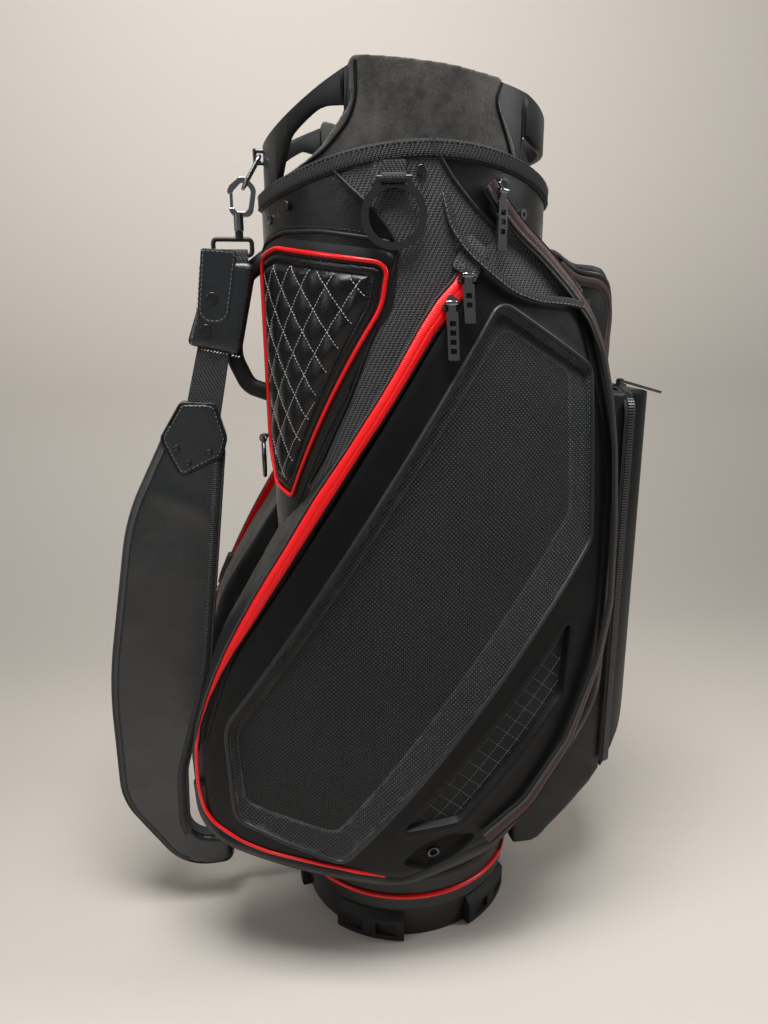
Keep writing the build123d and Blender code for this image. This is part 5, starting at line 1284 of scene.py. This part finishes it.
def build_strap():
    """The padded shoulder strap with its sleeve, patch and webbings, and the handles."""
    outline = rounded(PAD, 4.0)
    top = pillow(outline, PAD_EDGE, PAD_PUFF)

    def crown(p):
        fold = 1.6 * np.exp(-((p[:, 1] - 500 + (p[:, 0] + 235) * 0.5) / 13) ** 2)
        return top(p) + 0.8 * wander(np.c_[p, 0 * p[:, :1]], 46.0, 21) + fold * smooth(depth_in(outline, p) / 20)
    pad = patch("strap_pad", outline, strap_face, crown, lambda p: -top(p), step=4.0, sharp=70)
    settle(pad, "leather", "pad_leather", "strap_pad", fill=0.7, body="strap")
    ahead = tangents(outline, True)
    away = np.stack([ahead[:, 1], 0 * ahead[:, 0], -ahead[:, 0]], -1) * np.sign(area(outline))
    wall_line = raised(strap_face, outline) - away * 0.6
    settle(strip("strap_wall", wall_line, away, 14.0, 3.2, closed=True), "webbing", "binding", body="strap")
    for name, ends, wide, seams in (("strap_band_front", ((-261, 100), (-196, 556)), 11.0, (0.5, 0.94)),
                                    ("strap_band_back", ((-262, 566), (-272, 52)), 7.5, (0.9,))):
        line = stretch(outline, *ends, 3.0)
        inner, outer = (eased(nearest_on(grown(outline, -depth, 4.0), line), 6) for depth in (wide, 0.8))

        def on_pad(t, a=outer, b=inner):
            return crown(a * (1 - t) + b * t) + 0.5 * math.sin(math.pi * min(max(t, 0.02), 0.98)) ** 0.3
        band = ribbon(name, outer, inner, strap_face, on_pad, rows=9, thick=-1.0)
        settle(band, "webbing", "binding", body="strap")
        laid_along(name + "_stitches", [on_surface(strap_face, outer * (1 - t) + inner * t, crown, 0.75)
                                        for t in seams], "black_thread", "webbing", seed=22, body="strap")
    for name, corners, low, rise, width, thread in (("strap_sleeve", SLEEVE, 1.6, 3.4, 12.0, "black_thread"),
                                                    ("strap_patch", PATCH, 8.4, 3.8, 3.0, "grey_thread")):
        loop = rounded(corners, 2.5)
        shape = pillow(loop, width, rise)
        piece = patch(name, loop, strap_face, lambda p: low + shape(p), lambda p: -low - shape(p), step=3.0, sharp=70)
        settle(piece, "leather", "pad_leather", name, fill=0.8, body="strap")
        seam = on_surface(strap_face, shut(grown(loop, -3.6, 2.5)), lambda p: low + shape(p), 0.1)
        laid_along(name + "_stitches", [seam], thread, "leather", **FINE_SEAM, seed=23, body="strap")
    hem = grown(rounded(PATCH, 2.5), -0.9, 2.5)
    cord("strap_patch_cord", raised(strap_face, hem, 10.6), 1.5, "soft_leather", closed=True, sides=10, body="strap")
    for k, middle in enumerate(PATCH_RIVETS):
        def dome(p, middle=middle):
            return 12.6 + 2.4 * np.sqrt(np.clip(1 - ((p - middle) ** 2).sum(1) / RIVET_R ** 2, 0, 1))
        piece = patch(f"rivet_dome_{k}", around(middle, RIVET_R, 20), strap_face, dome, 11.5, step=0.9)
        settle(piece, "stud", "stud_enamel", body="strap")
    loop = rounded(FLAP, 2.0)
    piece = patch("sleeve_flap", loop, strap_face, lambda p: 5.3 + 0.8 * smooth(depth_in(loop, p) / 2.5), 3.2,
                  step=2.5)
    settle(piece, "leather", "pad_leather", body="strap")
    hem = on_surface(strap_face, shut(grown(loop, -2.4, 2.0)), 6.1)
    laid_along("sleeve_flap_stitches", [hem], "grey_thread", "leather", **FINE_SEAM, seed=24, body="strap")
    seam, fray = (on_surface(strap_face, resample(line, 3.0, closed=False), lift)
                  for line, lift in ((SLEEVE_SEAM, 3.9), (SLEEVE_FRAY, 4.2)))
    laid_along("sleeve_seam", [seam], "grey_thread", "leather", **FINE_SEAM, seed=26, body="strap")
    laid_along("sleeve_fray", [fray], "pale_thread", "leather", spacing=3.1, length=1.9, width=0.8, height=0.9,
               tilt=0.7, uneven=0.9, seed=27, body="strap")
    for node, voxel, finish, body in (("strap_webbing_upper", 1.1, "webbing", "strap"),
                                      ("strap_webbing_lower", 1.1, "webbing", "strap"),
                                      ("grab_handle", 1.3, "soft_leather", "bag"),
                                      ("towel_loop", 0.7, "webbing", "bag"), ("spine_tab", 0.8, "webbing", "bag")):
        settle(softened(node, node, voxel, relax=2), "webbing", finish, node, body=body)


def build_hardware():
    """Finishes of the metal and moulded parts that stay, and the moulding that takes a parked pull."""
    dress("stud_enamel", "hood_studs", "sleeve_snaps", "patch_rivets")
    cord("pull_garage", flowing(PULL_GARAGE, 2.0, 3), 6.5, "soft_leather", slot="leather", sides=16)
    dress("steel", "collar_screws", "snap_hook", "hook_gate", "strap_ring")
    dress("dark_steel", "strap_staple", "lower_anchor", "spine_ring")
    dress("ring_plastic", "towel_ring")
    bevelled(0.9, "towel_ring")
    dress("black_plastic", "strap_loop")
    for tag in ("near_a", "near_b", "far_main", "near_collar", "far_collar", "front"):
        dress("gunmetal", f"slider_{tag}", f"pull_{tag}")
        bevelled(0.3, f"slider_{tag}", f"pull_{tag}")


def build_base():
    """The boot, its feet and the red piping above it."""
    dress("black_plastic", "base_boot")
    dress("rubber", "base_feet")
    a = angles(180)
    ring = np.stack([PIPING_R * np.sin(a), -PIPING_R * np.cos(a), 60 + 0 * a], -1)
    cord("base_piping", ring, 2.6, "red_piping", replaced="base_piping", closed=True, sides=12)
    u = np.append(np.arange(0, WALL_ROUND, 4.0), WALL_ROUND)
    seam, stitches = (np.stack([u, np.full(len(u), z)], -1) for z in (86.0, 82.0))
    cord("base_seam", raised(wall, seam[:-1], 0.2), 1.2, "soft_leather", slot="leather", closed=True)
    laid_along("base_stitches", [on_surface(wall, stitches, 0.2)], "black_thread", "leather", seed=25)


# ---------------------------------------------------------------- stage
FLOOR_SIDE, FLOOR_FRONT, FLOOR_BACK, COVE, BACKDROP_TOP = 3200, -2600, 1200, 500, 2600
LAMP_COLOUR = (0.985, 0.99, 1.0)


def lamp(name, place, aim, wide, high, power):
    """A soft rectangular lamp."""
    light = bpy.data.lights.new(name, "AREA")
    light.shape, light.size, light.size_y, light.energy, light.color = "RECTANGLE", wide, high, power, LAMP_COLOUR
    obj = new_object(name, light)
    obj.location = place
    obj.rotation_euler = (Vector(aim) - Vector(place)).to_track_quat("-Z", "Y").to_euler()


def build_stage():
    """Pale floor and backdrop with painted shade and light on them, soft lights and the camera."""
    turn = np.linspace(0, math.pi / 2, 14)
    bend = [(FLOOR_BACK - COVE * (1 - math.sin(a)), COVE * (1 - math.cos(a))) for a in turn]
    profile = [(FLOOR_FRONT, 0), (COVE, 0)] + bend + [(FLOOR_BACK, BACKDROP_TOP)]
    rows = [[(x, y, z) for y, z in profile] for x in (-FLOOR_SIDE, 0, FLOOR_SIDE)]
    floor = grid_mesh("studio_floor", rows, sharp=0)
    mat = bpy.data.materials.new("studio_paper")
    mat.use_nodes = True
    n = Nodes(mat.node_tree)
    shader = mat.node_tree.nodes["Principled BSDF"]
    where = n.add("ShaderNodeTexCoord").outputs["Object"]
    pale = tuple(colours().stage)
    base = n.mix(n.noise(where, 60.0, 3.0), tint(pale, 0.985), tint(pale, 1.01))
    parts = n.add("ShaderNodeSeparateXYZ", {0: where})
    # Painted shade and light on the paper: darker from the front of the floor into the cove, lighter up the backdrop,
    # darker towards the sides
    along = n.plus(parts.outputs[1], parts.outputs[2])
    dip = n.ramp(along, -0.25, 0.95, 0.82, 0.58)
    rise = n.ramp(along, 0.9, 2.3, 0.0, 0.27)
    side = n.ramp(n.math("ABSOLUTE", parts.outputs[0]), 0.1, 1.2, 1.04, 0.92)
    n.put(shader.inputs["Base Color"], n.scaled(base, n.times(n.plus(dip, rise), side)))
    shader.inputs["Roughness"].default_value = 0.9
    floor.data.materials.append(mat)

    world = bpy.data.worlds.new("soft_world")
    bpy.context.scene.world = world
    world.use_nodes = True
    colour, strength = world.node_tree.nodes["Background"].inputs[:2]
    colour.default_value, strength.default_value = (0.95, 0.975, 1.0, 1), 0.16
    lamp("overhead", (-0.15, -0.5, 2.3), (0, 0.1, 0.4), 1.1, 0.7, 56)
    lamp("left_soft", (-1.9, -0.7, 1.7), (0, 0, 0.5), 0.5, 1.2, 9)
    lamp("right_soft", (1.7, -0.4, 1.7), (0, 0, 0.5), 0.4, 1.1, 15)

    camera = bpy.data.cameras.new("camera")
    camera.lens, camera.sensor_width, camera.clip_start, camera.clip_end = 27.04, 36, 0.01, 50
    obj = new_object("camera", camera)
    obj.location = (-0.1683, -0.8365, 0.703)
    turn = Vector((0.1677, 0.9513, -0.2588)).to_track_quat("-Z", "Y").to_matrix()
    obj.rotation_euler = (turn @ Matrix.Rotation(-0.005, 3, "Z")).to_euler()
    bpy.context.scene.camera = obj
    bpy.context.scene.view_settings.view_transform = "Standard"


# ---------------------------------------------------------------- operators and sidebar
class GOLFBAG_OT_shell(bpy.types.Operator):
    """Build the leather tube with its knit panels and seams"""
    bl_idname = "golfbag.shell"
    bl_label = "Tube"
    bl_options = {"REGISTER", "UNDO"}

    def execute(self, context):
        build_shell()
        return {"FINISHED"}


class GOLFBAG_OT_collar(bpy.types.Operator):
    """Build the top: covers, twill band and divider"""
    bl_idname = "golfbag.collar"
    bl_label = "Top"
    bl_options = {"REGISTER", "UNDO"}

    def execute(self, context):
        build_collar()
        return {"FINISHED"}


class GOLFBAG_OT_quilts(bpy.types.Operator):
    """Build the quilted panels in their red piping"""
    bl_idname = "golfbag.quilts"
    bl_label = "Quilted panels"
    bl_options = {"REGISTER", "UNDO"}

    def execute(self, context):
        build_quilts()
        return {"FINISHED"}


class GOLFBAG_OT_pockets(bpy.types.Operator):
    """Build the apparel pockets and their moulded panels"""
    bl_idname = "golfbag.pockets"
    bl_label = "Apparel pockets"
    bl_options = {"REGISTER", "UNDO"}

    def execute(self, context):
        build_pockets()
        return {"FINISHED"}


class GOLFBAG_OT_zips(bpy.types.Operator):
    """Build the zip tapes, piping and bindings"""
    bl_idname = "golfbag.zips"
    bl_label = "Zips and piping"
    bl_options = {"REGISTER", "UNDO"}

    def execute(self, context):
        build_zips()
        return {"FINISHED"}


class GOLFBAG_OT_front(bpy.types.Operator):
    """Build the ball pocket and the valuables pocket"""
    bl_idname = "golfbag.front"
    bl_label = "Front pockets"
    bl_options = {"REGISTER", "UNDO"}

    def execute(self, context):
        build_front()
        return {"FINISHED"}


class GOLFBAG_OT_strap(bpy.types.Operator):
    """Build the shoulder strap, its webbings and the handles"""
    bl_idname = "golfbag.strap"
    bl_label = "Strap and handles"
    bl_options = {"REGISTER", "UNDO"}

    def execute(self, context):
        build_strap()
        return {"FINISHED"}


class GOLFBAG_OT_hardware(bpy.types.Operator):
    """Finish the rings, hooks, studs, sliders and pulls"""
    bl_idname = "golfbag.hardware"
    bl_label = "Hardware"
    bl_options = {"REGISTER", "UNDO"}

    def execute(self, context):
        build_hardware()
        return {"FINISHED"}


class GOLFBAG_OT_base(bpy.types.Operator):
    """Finish the boot and lay the red piping above it"""
    bl_idname = "golfbag.base"
    bl_label = "Base"
    bl_options = {"REGISTER", "UNDO"}

    def execute(self, context):
        build_base()
        return {"FINISHED"}


class GOLFBAG_OT_stage(bpy.types.Operator):
    """Set up the floor, the backdrop, the lights and the camera"""
    bl_idname = "golfbag.stage"
    bl_label = "Stage"
    bl_options = {"REGISTER", "UNDO"}

    def execute(self, context):
        build_stage()
        return {"FINISHED"}


STEPS = ("stage", "shell", "collar", "quilts", "pockets", "zips", "front", "strap", "hardware", "base")


class GOLFBAG_PT_panel(bpy.types.Panel):
    """The bag's pieces and their sizes"""
    bl_idname = "GOLFBAG_PT_panel"
    bl_label = "Golf bag"
    bl_space_type = "VIEW_3D"
    bl_region_type = "UI"
    bl_category = "Golf bag"

    def draw(self, context):
        for step in STEPS:
            self.layout.operator(f"golfbag.{step}")
        for group in (context.scene.golf_bag_sizes, context.scene.golf_bag_colours):
            box = self.layout.box()
            for key in group.bl_rna.properties.keys():
                if key not in {"rna_type", "name"}:
                    box.prop(group, key)


CLASSES = (GolfBagSizes, GolfBagColours, GOLFBAG_OT_shell, GOLFBAG_OT_collar, GOLFBAG_OT_quilts,
           GOLFBAG_OT_pockets, GOLFBAG_OT_zips, GOLFBAG_OT_front, GOLFBAG_OT_strap, GOLFBAG_OT_hardware,
           GOLFBAG_OT_base, GOLFBAG_OT_stage, GOLFBAG_PT_panel)


def register():
    """Add the bag's operators, its properties and its panel."""
    for cls in CLASSES:
        bpy.utils.register_class(cls)
    bpy.types.Scene.golf_bag_sizes = PointerProperty(type=GolfBagSizes)
    bpy.types.Scene.golf_bag_colours = PointerProperty(type=GolfBagColours)


def unregister():
    """Take them away again."""
    del bpy.types.Scene.golf_bag_sizes
    del bpy.types.Scene.golf_bag_colours
    for cls in reversed(CLASSES):
        bpy.utils.unregister_class(cls)


def main():
    """Build the whole bag on its stage."""
    register()
    for step in STEPS:
        getattr(bpy.ops.golfbag, step)()


if __name__ == "__main__":
    main()
